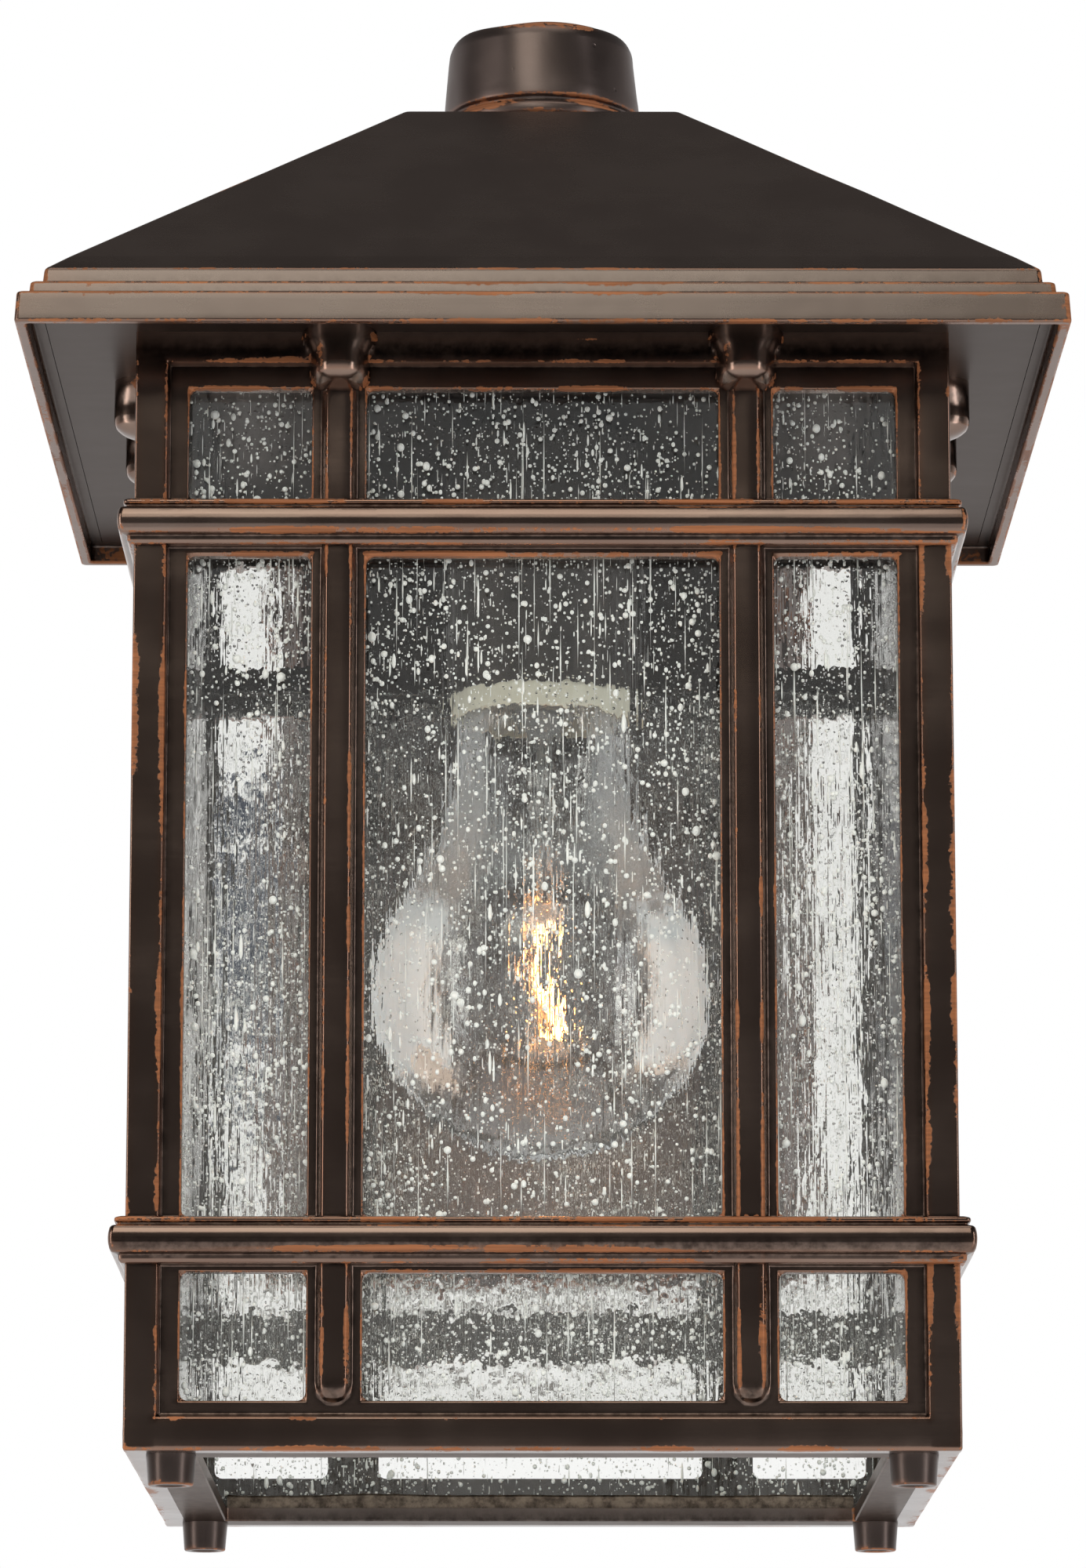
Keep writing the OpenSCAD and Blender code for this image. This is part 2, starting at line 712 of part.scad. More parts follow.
module socket_liner() {
    color(cream) at_lantern() translate([0, 0, liner_z]) difference() {
        cylinder(r = liner_r, h = liner_h);
        translate([0, 0, -tiny]) cylinder(r = liner_r - liner_t, h = liner_h + 2 * tiny);
    }
}

module socket_base() {
    color(black) at_lantern() difference() {
        translate([0, 0, socket_base_z]) cylinder(r = liner_r - liner_t - close_fit, h = socket_base_t);
        for (x = [-1, 1] * lead_start_x) translate([x, lead_start_y, socket_base_top - 3])
            cylinder(d = lead_d + 0.4, h = 3 + tiny);
    }
}

module screw_shell() {
    outer_r = screw_shell_r + screw_shell_t;
    color(brass) at_lantern() translate([0, 0, socket_base_z - screw_shell_len]) difference() {
        cylinder(r = outer_r, h = screw_shell_len);
        translate([0, 0, -tiny]) cylinder(r = screw_shell_r, h = screw_shell_len - screw_shell_t);
        cylinder(r = 6, h = screw_shell_len + tiny);
    }
}

module centre_contact() {
    color(brass) at_lantern() translate([0, 0, contact_z]) cylinder(d = 8, h = contact_t);
}

neck_r = neck_d / 2;
globe_r = bulb_d / 2;
shoulder_x = neck_r + shoulder_r;
shoulder_z = globe_z + sqrt(pow(globe_r + shoulder_r, 2) - pow(shoulder_x, 2));
shoulder_turn = atan2(shoulder_z - globe_z, shoulder_x);
arc_steps = 24;
neck_top = cap_z + 1.2;
cap_thread = 0.45;
cap_wall = 0.6;
cap_inner_r = cap_d / 2 - cap_thread - cap_wall;
neck_top_r = cap_inner_r - close_fit;

// Outline of the bulb's glass, shrunk by its wall for the inside
function bulb_outline(wall) = concat(
    [for (i = [0 : arc_steps]) let (a = -quarter_turn + (shoulder_turn + quarter_turn) * i / arc_steps)
        [i == 0 ? 0 : (globe_r - wall) * cos(a), globe_z + (globe_r - wall) * sin(a)]],
    [for (i = [1 : arc_steps / 2]) let (a = half_turn + shoulder_turn * (1 - 2 * i / arc_steps))
        [shoulder_x + (shoulder_r + wall) * cos(a), shoulder_z + (shoulder_r + wall) * sin(a)]],
    [[neck_r - wall, cap_z - 4], [neck_top_r - wall, cap_z], [neck_top_r - wall, neck_top - wall],
        [0, neck_top - wall]]);

module bulb_glass() {
    color(clear_glass) at_lantern() rotate_extrude() difference() {
        polygon(bulb_outline(0));
        polygon(bulb_outline(bulb_wall));
    }
}

module bulb_cap() {
    r = cap_d / 2;
    root_r = r - cap_thread;
    turns = floor((cap_h - 5) / cap_pitch);
    ridges = [for (i = [0 : turns - 1]) let (z = cap_z + 3 + i * cap_pitch) each
        [[root_r, z], [r, z + cap_pitch * 0.3], [r, z + cap_pitch * 0.6], [root_r, z + cap_pitch * 0.9]]];
    color(brass) at_lantern() rotate_extrude() polygon(concat(
        [[cap_inner_r, cap_z], [root_r, cap_z]], ridges,
        [[root_r, cap_top - 1.5], [r - 2, cap_top], [0, cap_top], [0, cap_top - cap_wall],
            [r - 2.4, cap_top - cap_wall], [cap_inner_r, cap_top - 1.8]]));
}

module bulb_insulator() {
    color(black) at_lantern() translate([0, 0, cap_top]) cylinder(r1 = cap_d / 2 - 2.4, r2 = 5.2, h = insulator_h);
}

module bulb_tip() {
    color(zinc) at_lantern() translate([0, 0, cap_top + insulator_h]) cylinder(d1 = 9, d2 = 7, h = tip_h);
}

filament_z = globe_z - 8;
press_z = filament_z + filament_l + 1.2;
press_h = 6.3;
press_w = 6.3;
press_d = 3.4;
bead_h = 2.8;

// Flared glass stem, its flat press and the small bead under the filament
module bulb_stem() {
    flare_top = neck_top - bulb_wall;
    flare_h = 8;
    flare_d = 20;
    stem_z = press_z + press_h;
    color(clear_glass) at_lantern() union() {
        translate([0, 0, stem_z - 0.5]) cylinder(d = press_d + 0.6, h = flare_top - flare_h - stem_z + 0.5);
        translate([0, 0, flare_top - flare_h - tiny])
            cylinder(d1 = press_d + 0.6, d2 = flare_d, h = flare_h + tiny);
        translate([-press_w / 2, -press_d / 2, press_z]) cube([press_w, press_d, press_h]);
        translate([-press_w / 2 + 0.7, 0, filament_z - bead_h + 1]) cylinder(d = 1.1, h = press_z - filament_z + bead_h);
        translate([-press_w / 2, -1.2, filament_z - bead_h]) cube([press_w + 1, 2.4, bead_h]);
    }
}

// Support wires from the press and the bead to the filament's ends
module bulb_wires() {
    wire_d = 0.5;
    color(steel) at_lantern() union() {
        translate([0.2, 0, press_z - 1.2 + tiny]) cylinder(d = wire_d, h = 1.2 - tiny, $fn = 16);
        translate([2.6, 0, filament_z + tiny]) cylinder(d = wire_d, h = 0.8, $fn = 16);
        translate([press_w / 2 - 0.4, -0.25, press_z - 3]) cube([wire_d, wire_d, 3]);
    }
}

// Coiled filament, drawn as its outer cylinder and leaning a little to one side
module bulb_filament() {
    lean = 8;
    coil_d = 1.2;
    color("orange") at_lantern() translate([2.6, 0, filament_z + 0.9]) rotate([0, -lean, 0])
        cylinder(d = coil_d, h = filament_l - 1.2);
}

// A shape drawn along +Z, laid along +Y at the arm's height
module along_arm(y0) {
    at_lantern() translate([0, y0, arm_z]) rotate([-quarter_turn, 0, 0]) children();
}

module arm_tube() {
    length = arm_wall_end - arm_inner_end;
    color(bronze) along_arm(arm_inner_end) difference() {
        cylinder(d = arm_d, h = length);
        translate([0, 0, -tiny]) cylinder(d = arm_d - 2 * arm_wall, h = length + 2 * tiny);
    }
}

module arm_collar(y0, flip) {
    edge = 0.8;
    bore = arm_d + 2 * close_fit;
    along_arm(y0) difference() {
        union() {
            translate([0, 0, flip ? edge : 0]) cylinder(d = collar_d, h = collar_t - edge);
            translate([0, 0, flip ? 0 : collar_t - edge - tiny])
                cylinder(d1 = collar_d - (flip ? 2 * edge : 0), d2 = collar_d - (flip ? 0 : 2 * edge), h = edge + tiny);
        }
        translate([0, 0, -tiny]) cylinder(d = bore, h = collar_t + 2 * tiny);
    }
}

module arm_collars() {
    color(bronze) union() {
        arm_collar(cell_face, false);
        arm_collar(plate_front - collar_t, true);
    }
}

module arm_lock_nuts() {
    color(zinc) for (y0 = [panel_inner - lock_nut_t, plate_front + plate_t])
        along_arm(y0) difference() {
            hex(arm_d + 4.5, lock_nut_t);
            translate([0, 0, -tiny]) cylinder(d = arm_d + 2 * close_fit, h = lock_nut_t + 2 * tiny);
        }
}

// A plate-shaped block: width, height, and its two distances from the wall
module block(w, h, near, far) {
    translate([-w / 2, -far, -h / 2]) cube([w, far - near, h]);
}

// A block whose sides lean in by the given amount towards the front
module leaning_block(w, h, near, far, lean) {
    intersection() {
        translate([0, 0, -h / 2]) linear_extrude(height = h)
            polygon([[-w / 2, -near], [w / 2, -near], [w / 2 - lean, -far], [-w / 2 + lean, -far]]);
        translate([-w / 2, 0, 0]) rotate([quarter_turn, 0, quarter_turn]) linear_extrude(height = w)
            polygon([[-near, -h / 2], [-near, h / 2], [-far, h / 2 - lean], [-far, -h / 2 + lean]]);
    }
}

module wall_plate() {
    d1 = plate_step_1 + gasket_t;
    d2 = d1 + plate_step_2;
    w2 = plate_w - 2 * plate_step_in;
    h2 = plate_h - 2 * plate_step_in;
    color(bronze) difference() {
        union() {
            block(plate_w, plate_h, gasket_t, d1);
            block(w2, h2, d1 - tiny, d2);
            leaning_block(w2, h2, d2 - tiny, plate_depth, bevel_in);
        }
        block(plate_w - 2 * plate_t, plate_h - 2 * plate_t, gasket_t - tiny, d1 - plate_t);
        block(w2 - 2 * plate_t, h2 - 2 * plate_t, d1 - plate_t - tiny, d2 - plate_t);
        leaning_block(w2 - 2 * plate_t, h2 - 2 * plate_t, d2 - plate_t - tiny, plate_depth - plate_t, bevel_in);
        translate([0, -plate_depth - tiny, arm_z - body_drop]) rotate([-quarter_turn, 0, 0])
            cylinder(d = arm_d + 2 * close_fit, h = plate_depth / 2);
        for (x = [-1, 1] * stud_x) translate([x, -plate_depth - tiny, 0]) rotate([-quarter_turn, 0, 0])
            cylinder(d = stud_d + 2 * close_fit, h = plate_depth / 2);
    }
}

module plate_gasket() {
    w = plate_w - 1;
    h = plate_h - 1;
    color(black) difference() {
        block(w, h, 0, gasket_t);
        block(w - 2 * gasket_w, h - 2 * gasket_w, -tiny, gasket_t + tiny);
    }
}

ground_x = 7;
ground_z = -20;
ground_screw_d = 3.5;

module mounting_bar() {
    slot_run = slot_l - slot_w;
    color(steel) difference() {
        union() {
            block(bar_w, bar_l, 0, bar_t);
            block(bar_ear_w, bar_w, 0, bar_t);
        }
        for (z = [-1, 1] * slot_spacing / 2) translate([0, tiny, z]) rotate([quarter_turn, 0, 0])
            linear_extrude(height = bar_t + 2 * tiny) union() {
                square([slot_w, slot_run], center = true);
                for (end = [-1, 1] * slot_run / 2) translate([0, end]) circle(d = slot_w);
            }
        for (x = [-1, 1] * stud_x) translate([x, tiny, 0]) rotate([quarter_turn, 0, 0])
            cylinder(d = stud_d + 2 * close_fit, h = bar_t + 2 * tiny);
        translate([ground_x, tiny, ground_z]) rotate([quarter_turn, 0, 0])
            cylinder(d = ground_screw_d + 2 * close_fit, h = bar_t + 2 * tiny);
    }
}

// Studs with a hexagonal nut behind the plate
module plate_studs() {
    nut_t = 2.4;
    color(steel) for (x = [-1, 1] * stud_x) translate([x, 0, 0]) rotate([quarter_turn, 0, 0]) union() {
        cylinder(d = stud_d, h = plate_depth + stud_out);
        translate([0, 0, bar_t]) hex(stud_d + 3, nut_t);
    }
}

module cap_nut(x) {
    bore_r = stud_d / 2 + running_fit;
    flange_d = cap_nut_af + 2;
    flange_t = 1;
    hex_t = 3.2;
    dome_r = cap_nut_af / 2 - 0.4;
    dome_z = cap_nut_h - dome_r;
    color(bronze) translate([x, -plate_depth - apart, 0]) rotate([quarter_turn, 0, 0]) difference() {
        union() {
            cylinder(d = flange_d, h = flange_t);
            translate([0, 0, flange_t - tiny]) hex(cap_nut_af, hex_t);
            cylinder(r = dome_r, h = dome_z);
            translate([0, 0, dome_z]) sphere(r = dome_r);
        }
        translate([0, 0, -tiny]) cylinder(r = bore_r, h = cap_nut_bore);
    }
}

module left_cap_nut() {
    cap_nut(-stud_x);
}

module right_cap_nut() {
    cap_nut(stud_x);
}

module ground_screw() {
    head_d = 7.5;
    head_h = 2.2;
    color("green") translate([ground_x, 0, ground_z]) rotate([quarter_turn, 0, 0]) union() {
        cylinder(d = ground_screw_d, h = bar_t + tiny);
        translate([0, 0, bar_t]) cylinder(d = head_d, h = head_h);
    }
}

// Routes of the leads, in the lantern's own heights, from the socket to the connectors in the wall plate
lead_start_x = 6;
lead_start_y = 5;
lead_x = 1.6;
cup_side = cup_d / 2;
arm_mid = (half_body + plate_front) / 2;
bend_y = reach - bar_t - 4;
connector_x = 20;
connector_y = reach - 7.5;
connector_top = 113;
function lead_route(side) = [
    [side * lead_start_x, lead_start_y, socket_base_top - 2],
    [side * lead_start_x, lead_start_y + 0.3, socket_base_top + 1],
    [side * 4, 9, lead_z],
    [side * lead_x, cup_side - 2, lead_z],
    [side * lead_x, cup_side + 5, lead_z],
    [side * lead_x, cup_side + 17, lead_z - 3],
    [side * lead_x, arm_inner_end - 13.5, arm_z + 2],
    [side * lead_x, arm_inner_end - 3.5, arm_z],
    [side * lead_x, half_body - 1, arm_z],
    [side * lead_x, arm_mid, arm_z],
    [side * lead_x, arm_wall_end - 3.6, arm_z],
    [side * lead_x, arm_wall_end + 1.4, arm_z - 0.4],
    [side * 3, bend_y, arm_z - 5],
    [side * 6, bend_y, arm_z - 14],
    [side * 12, bend_y - 0.5, arm_z - 28],
    [side * 18, connector_y, arm_z - 44],
    [side * connector_x, connector_y, connector_top + 3],
    [side * connector_x, connector_y, connector_top - 4]];

module hot_lead() {
    color(black) at_lantern() lead(lead_route(-1), lead_d, 1);
}

module neutral_lead() {
    color("white") at_lantern() lead(lead_route(1), lead_d, 1);
}

// Green lead from the arm's lock nut to the ground screw
module ground_lead() {
    start_y = plate_front + plate_t + lock_nut_t + lead_d / 2 + 0.1;
    screw_z = ground_z + body_drop;
    route = [[arm_d / 2 + 1.5, start_y, arm_z], [12, start_y, arm_z - 6], [14, start_y, arm_z - 16],
        [14, start_y, arm_z - 30], [12.5, start_y, screw_z + 18], [10, start_y + 2, screw_z + 8],
        [ground_x + 1, reach - 5.4, screw_z + 1]];
    color("green") at_lantern() lead(route, lead_d, 2);
}

module wire_connectors() {
    tip_d = 5.5;
    color("orange") at_lantern() for (side = [-1, 1])
        translate([side * connector_x, connector_y, connector_top - connector_l]) difference() {
            cylinder(d1 = tip_d, d2 = connector_d, h = connector_l);
            translate([0, 0, connector_l - 6]) cylinder(d = lead_d + 0.4, h = 6 + tiny);
        }
}

hood();
ceiling_plate();
base_ring();
feet();
front_panel();
back_panel();
left_panel();
right_panel();
front_glass();
back_glass();
left_glass();
right_glass();
lower_glass_stops();
upper_glass_stops();
panel_screws();
finial();
finial_seat();
threaded_rod();
rod_nuts();
cross_strap();
strap_screws();
socket_cup();
socket_liner();
socket_base();
screw_shell();
centre_contact();
bulb_glass();
bulb_cap();
bulb_insulator();
bulb_tip();
bulb_stem();
bulb_wires();
bulb_filament();
arm_tube();
arm_collars();
arm_lock_nuts();
wall_plate();
plate_gasket();
mounting_bar();
plate_studs();
left_cap_nut();
right_cap_nut();
ground_screw();
hot_lead();
neutral_lead();
ground_lead();
wire_connectors();
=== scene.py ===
# %% [markdown]
# # A square wall lantern with seeded glass
# The real lantern is cast metal in a dark bronze finish, rubbed through to copper along its edges, with
# four panes of glass full of bubbles. This script dresses the CAD model of it. The CAD model says where
# every piece is, so the first step is to load it.

# %% Load the frame
import math
import bmesh
import bpy
import numpy as np
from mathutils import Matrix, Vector, kdtree, noise


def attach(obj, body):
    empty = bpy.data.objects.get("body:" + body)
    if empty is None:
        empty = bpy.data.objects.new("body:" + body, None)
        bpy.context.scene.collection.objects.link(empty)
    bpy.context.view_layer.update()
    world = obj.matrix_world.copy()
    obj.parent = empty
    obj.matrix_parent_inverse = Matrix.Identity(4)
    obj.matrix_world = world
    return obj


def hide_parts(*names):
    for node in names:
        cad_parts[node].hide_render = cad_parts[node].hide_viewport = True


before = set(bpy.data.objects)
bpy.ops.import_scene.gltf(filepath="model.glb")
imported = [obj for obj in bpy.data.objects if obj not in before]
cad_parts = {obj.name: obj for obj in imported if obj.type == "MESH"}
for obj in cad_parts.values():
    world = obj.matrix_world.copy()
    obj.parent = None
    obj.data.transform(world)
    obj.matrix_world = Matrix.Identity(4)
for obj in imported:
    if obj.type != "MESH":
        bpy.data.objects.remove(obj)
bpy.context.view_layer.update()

# %% [markdown]
# ## Working in the lantern's own millimetres
# A lamp maker measures a lantern from the underside of its feet and from its upright axis, in millimetres.
# The scene is in metres with its origin on the wall, so one small function turns the first into the second.
# Every mesh below is written in lantern millimetres and converted once, when its object is made.

# %% Units and main sizes
MM = 0.001
REACH = 108.0
DROP = 133.5
HALF = 69.0
BACK = 65.0
SUNK = 1.4
SOFFIT = 195.5
FASCIA_TOP = 197.4
STEP_1_TOP = 199.7
STEP_2_TOP = 202.5
ROOF_TOP = 248.5
ARM_Z = 175.95


def lantern(points):
    """Lantern millimetres to scene metres."""
    return (np.asarray(points, float) - [0.0, REACH, DROP]) * MM


def wall(points):
    """Millimetres on the wall plate to scene metres."""
    return np.asarray(points, float) * MM


# %% [markdown]
# ## Camera
# The photograph looks up at the lantern from about 1.2 m away and well below it, so the underside of the hood
# and the open bottom both show. The place, tilt and lens come from matching the corners of the hood and body.

# %% Camera
TILT = 11.504
PAN = -0.19
camera_data = bpy.data.cameras.new("view")
camera_data.sensor_fit = "VERTICAL"
camera_data.sensor_height = 36.0
camera_data.lens = 154.07
camera = bpy.data.objects.new("view", camera_data)
bpy.context.scene.collection.objects.link(camera)
camera.location = (-0.0036, -1.2806, -0.2411)
camera.rotation_euler = (math.radians(90.0 + TILT), 0.0, math.radians(PAN))
bpy.context.scene.camera = camera
print("camera at", tuple(camera.location), "lens", camera_data.lens)

# %% [markdown]
# ## Small tools for shader trees
# Each material is a tree of nodes, and a few helpers keep the trees readable. One adds a node, one gives a
# socket its value, and the others each stand for one common step: a sum, a soft threshold, a mix of colours,
# or noise. Wherever a value is asked for, it may be a plain number, a plain colour or the output of a node.


# %% Shader tools
NUMBER = "NodeSocketFloat"


def add(tree, kind, inputs=None, **settings):
    """A node of the given kind. Inputs are values for its sockets, settings are its own properties."""
    node = tree.nodes.new(kind)
    for key, value in (inputs or {}).items():
        feed(tree, value, node.inputs[key])
    for key, value in settings.items():
        setattr(node, key, value)
    return node


def feed(tree, value, socket):
    """Give a socket a number, a colour, a vector or the output of another node."""
    if isinstance(value, bpy.types.NodeSocket):
        tree.links.new(value, socket)
    elif socket.type == "RGBA":
        socket.default_value = (*value, 1.0)
    else:
        socket.default_value = value


def maths(tree, operation, a, b=0.5, clamp=False):
    """One maths step on two values."""
    return add(tree, "ShaderNodeMath", {0: a, 1: b}, operation=operation, use_clamp=clamp).outputs["Value"]


def times(tree, first, *others):
    """The product of all values."""
    for other in others:
        first = maths(tree, "MULTIPLY", first, other)
    return first


def plus(tree, a, b, clamp=False):
    """The sum of two values."""
    return maths(tree, "ADD", a, b, clamp)


def ramp(tree, source, low, high, to_low=0.0, to_high=1.0, kind="SMOOTHSTEP"):
    """A step of a value between two levels, smooth unless it is to be LINEAR."""
    levels = {"Value": source, "From Min": low, "From Max": high, "To Min": to_low, "To Max": to_high}
    return add(tree, "ShaderNodeMapRange", levels, interpolation_type=kind).outputs["Result"]


def blend(tree, mask, first, second):
    """Two colours mixed by a mask."""
    return add(tree, "ShaderNodeMixRGB", {"Fac": mask, "Color1": first, "Color2": second}).outputs["Color"]


def own_space(tree, stretch=None):
    """Places in the object's own space. Stretch gives each axis its own scale."""
    place = add(tree, "ShaderNodeTexCoord").outputs["Object"]
    if stretch:
        place = add(tree, "ShaderNodeMapping", {"Vector": place, "Scale": stretch}).outputs["Vector"]
    return place


def noise_at(tree, scale, detail=3.0, stretch=None, rough=0.55):
    """Noise in the object's own space."""
    values = {"Vector": own_space(tree, stretch), "Scale": scale, "Detail": detail, "Roughness": rough}
    return add(tree, "ShaderNodeTexNoise", values).outputs["Fac"]


def start_group(name, inputs, outputs):
    """A shader node group with number sockets."""
    tree = bpy.data.node_groups.new(name, "ShaderNodeTree")
    for label in inputs:
        tree.interface.new_socket(name=label, in_out="INPUT", socket_type=NUMBER)
    for label in outputs:
        tree.interface.new_socket(name=label, in_out="OUTPUT", socket_type=NUMBER)
    return tree, add(tree, "NodeGroupInput"), add(tree, "NodeGroupOutput")


def start_material(name, values):
    """A material with an empty tree and one main shader, and the values of that shader."""
    material = bpy.data.materials.new(name)
    material.use_nodes = True
    tree = material.node_tree
    tree.nodes.clear()
    shader = add(tree, "ShaderNodeBsdfPrincipled", values)
    output = add(tree, "ShaderNodeOutputMaterial", {"Surface": shader.outputs["BSDF"]})
    return material, tree, shader, output


# %% [markdown]
# ## Studio: world, floor and lamps
# A dark satin metal shows little but what it reflects. The world is therefore white where the camera and the
# glass look through to it, but for reflections it is dim in front and bright behind and below, like a studio
# with black flags round the camera. Through its glass the photograph also shows a grey-blue area at the left
# and a grey one low in the middle. They are two soft cards behind the lantern, which only rays that came
# through glass can see. Four soft boxes draw the pale streaks on the hood's rim, the bands and the finial.

# %% World
WHITE = (1.0, 1.0, 1.0)
ROOM_LIGHT = (0.93, 0.96, 1.0)
BLUE_CARD = (0.05, 0.06, 0.085)
GREY_CARD = (0.20, 0.185, 0.17)
CARD_SOFT = 0.0015
world = bpy.data.worlds.new("studio")
bpy.context.scene.world = world
world.use_nodes = True
sky = world.node_tree
sky.nodes.clear()
ray = add(sky, "ShaderNodeLightPath").outputs
direction = add(sky, "ShaderNodeTexCoord").outputs["Generated"]
ray_x, ray_y, ray_z = add(sky, "ShaderNodeSeparateXYZ", {"Vector": direction}).outputs


def sky_range(value, low, high, to_low=0.0, to_high=1.0):
    """Map one number of a ray's direction evenly to another."""
    return ramp(sky, value, low, high, to_low, to_high, "LINEAR")


def between(value, low, high):
    """Full between two numbers of a ray's direction, with soft ends."""
    return times(sky, sky_range(value, low - CARD_SOFT, low + CARD_SOFT),
                 sky_range(value, high - CARD_SOFT, high + CARD_SOFT, 1.0, 0.0))


behind = times(sky, sky_range(ray_y, -0.15, 0.75, 0.082, 1.0), sky_range(ray_z, 0.15, 0.55, 1.0, 0.15))
mirrored = maths(sky, "MAXIMUM", behind, sky_range(ray_z, 0.0, -0.6, 0.0, 0.3))
ahead = times(sky, sky_range(ray_y, 0.5, 0.6), ray["Is Transmission Ray"])
blue_part = times(sky, between(ray_x, -0.110, -0.012), between(ray_z, 0.152, 0.199), ahead)
grey_part = times(sky, between(ray_x, -0.035, 0.040), between(ray_z, 0.117, 0.1305), ahead)
backdrop = blend(sky, grey_part, blend(sky, blue_part, WHITE, BLUE_CARD), GREY_CARD)
straight = maths(sky, "MAXIMUM", ray["Is Camera Ray"], ray["Is Transmission Ray"])
seen = add(sky, "ShaderNodeBackground", {"Color": blend(sky, straight, mirrored, backdrop), "Strength": 1.0})
lit = add(sky, "ShaderNodeBackground", {"Color": ROOM_LIGHT, "Strength": 1.0})
both = {0: maths(sky, "MAXIMUM", straight, ray["Is Glossy Ray"]), 1: lit.outputs[0], 2: seen.outputs[0]}
add(sky, "ShaderNodeOutputWorld", {"Surface": add(sky, "ShaderNodeMixShader", both).outputs["Shader"]})
bpy.context.scene.view_settings.view_transform = "Standard"
print("world nodes:", len(sky.nodes))


# %% Lamps
def soft_box(name, place, width, height, power, tint):
    """A soft box at one place, turned to face the middle of the lantern."""
    data = bpy.data.lights.new(name, "AREA")
    data.shape = "RECTANGLE"
    data.size = width
    data.size_y = height
    data.energy = power
    data.color = tint
    lamp = bpy.data.objects.new(name, data)
    lamp.location = place
    lamp.rotation_euler = (MIDDLE - Vector(place)).to_track_quat("-Z", "Y").to_euler()
    bpy.context.scene.collection.objects.link(lamp)


MIDDLE = Vector((0.0, -0.108, 0.02))
soft_box("key_box", (-0.35, -1.65, 1.0), 1.2, 0.7, 6.5, (1.0, 0.99, 0.90))
soft_box("right_strip", (1.55, -1.15, 0.1), 0.35, 1.5, 6.5, (0.96, 0.98, 1.0))
soft_box("left_strip", (-1.6, -0.95, 0.1), 0.35, 1.5, 6.5, (1.0, 0.98, 0.95))
soft_box("top_box", (0.0, -0.75, 1.45), 1.5, 0.8, 5.0, (1.0, 0.97, 0.90))
print("lamps:", len(bpy.data.lights))

# %% Floor
FLOOR_Z = -0.6
FLOOR_HALF = 5.0
floor_mesh = bpy.data.meshes.new("floor")
quarter_turns = ((-1, -1), (1, -1), (1, 1), (-1, 1))
floor_corners = [(FLOOR_HALF * sx, FLOOR_HALF * sy, FLOOR_Z) for sx, sy in quarter_turns]
floor_mesh.from_pydata(floor_corners, [], [(0, 1, 2, 3)])
floor = bpy.data.objects.new("floor", floor_mesh)
bpy.context.scene.collection.objects.link(floor)

# %% [markdown]
# ## Shared effects
# Several finishes share the same wear. Each effect is a node group built once: edges rubbed through to the
# copper, the skin of a casting with its pits and soft waves, fine brush lines, and near-black corners that
# are part grime, part painted shade. The meshes below carry two painted numbers for it, how sharply a
# place bulges and how sharply it folds in.

# %% Group: rubbed edges
tree, group_in, group_out = start_group("rubbed_edges", ["Amount"], ["Mask", "Halo"])
mark = add(tree, "ShaderNodeAttribute", attribute_name="bulge").outputs["Fac"]
slow = ramp(tree, noise_at(tree, 19.0, 1.0), 0.3, 0.6, 0.55, 1.1)
drift = times(tree, ramp(tree, noise_at(tree, 70.0, 2.0), 0.40, 0.70), slow)
rag = ramp(tree, noise_at(tree, 900.0, 3.0, rough=0.65), 0.25, 0.75, -0.32, 0.32)
level = times(tree, plus(tree, times(tree, drift, 0.9), rag), group_in.outputs["Amount"])
worn = times(tree, mark, plus(tree, level, 0.20))
feed(tree, ramp(tree, worn, 0.34, 0.46), group_out.inputs["Mask"])
feed(tree, ramp(tree, mark, 0.1, 0.9), group_out.inputs["Halo"])

# %% Group: casting skin
tree, group_in, group_out = start_group("casting_skin", [], ["Height", "Tone"])
wave = noise_at(tree, 60.0, 2.0)
grain = noise_at(tree, 2600.0, 2.0)
cells = add(tree, "ShaderNodeTexVoronoi", {"Vector": own_space(tree), "Scale": 420.0}).outputs
few = ramp(tree, cells["Color"], 0.80, 0.86)
pits = times(tree, few, ramp(tree, cells["Distance"], 0.08, 0.20, 1.0, 0.0))
rise = plus(tree, wave, times(tree, grain, 0.014))
feed(tree, maths(tree, "SUBTRACT", rise, times(tree, pits, 0.12)), group_out.inputs["Height"])
tone = plus(tree, ramp(tree, wave, 0.3, 0.7, 0.0, 0.6), ramp(tree, grain, 0.3, 0.7, 0.0, 0.12))
feed(tree, tone, group_out.inputs["Tone"])

# %% Group: brush lines
tree, group_in, group_out = start_group("brush_lines", [], ["Lines"])
lines = noise_at(tree, 1.0, 4.0, (60.0, 60.0, 2400.0), 0.5)
feed(tree, ramp(tree, lines, 0.3, 0.7), group_out.inputs["Lines"])

# %% Group: corner grime and painted shade
tree, group_in, group_out = start_group("corner_grime_and_shade", [], ["Mask"])
mark = add(tree, "ShaderNodeAttribute", attribute_name="fold").outputs["Fac"]
rag = ramp(tree, noise_at(tree, 500.0, 4.0, rough=0.7), 0.3, 0.7, 0.3, 1.0)
feed(tree, times(tree, mark, rag), group_out.inputs["Mask"])
print("effect groups:", [g.name for g in bpy.data.node_groups])


# %% [markdown]
# ## Bronze finish
# The casting is coated dark brown, then rubbed by hand so the copper comes through on the edges. It is one
# metallic shader: a dark brown base whose tone drifts a little, copper where the rubbed mask says so, and
# bump from the casting skin. The roughness drifts too, so reflections break up as on real sprayed metal.


# %% Bronze material
COPPER = (0.34, 0.120, 0.043)
# Near black for folds and shade patches: part grime, part painted shade.
GRIME_AND_SHADE = (0.018, 0.012, 0.010)


def effect(tree, name, **inputs):
    """The outputs of one of the shared effects."""
    node = add(tree, "ShaderNodeGroup", node_tree=bpy.data.node_groups[name])
    for key, value in inputs.items():
        feed(tree, value, node.inputs[key])
    return node.outputs


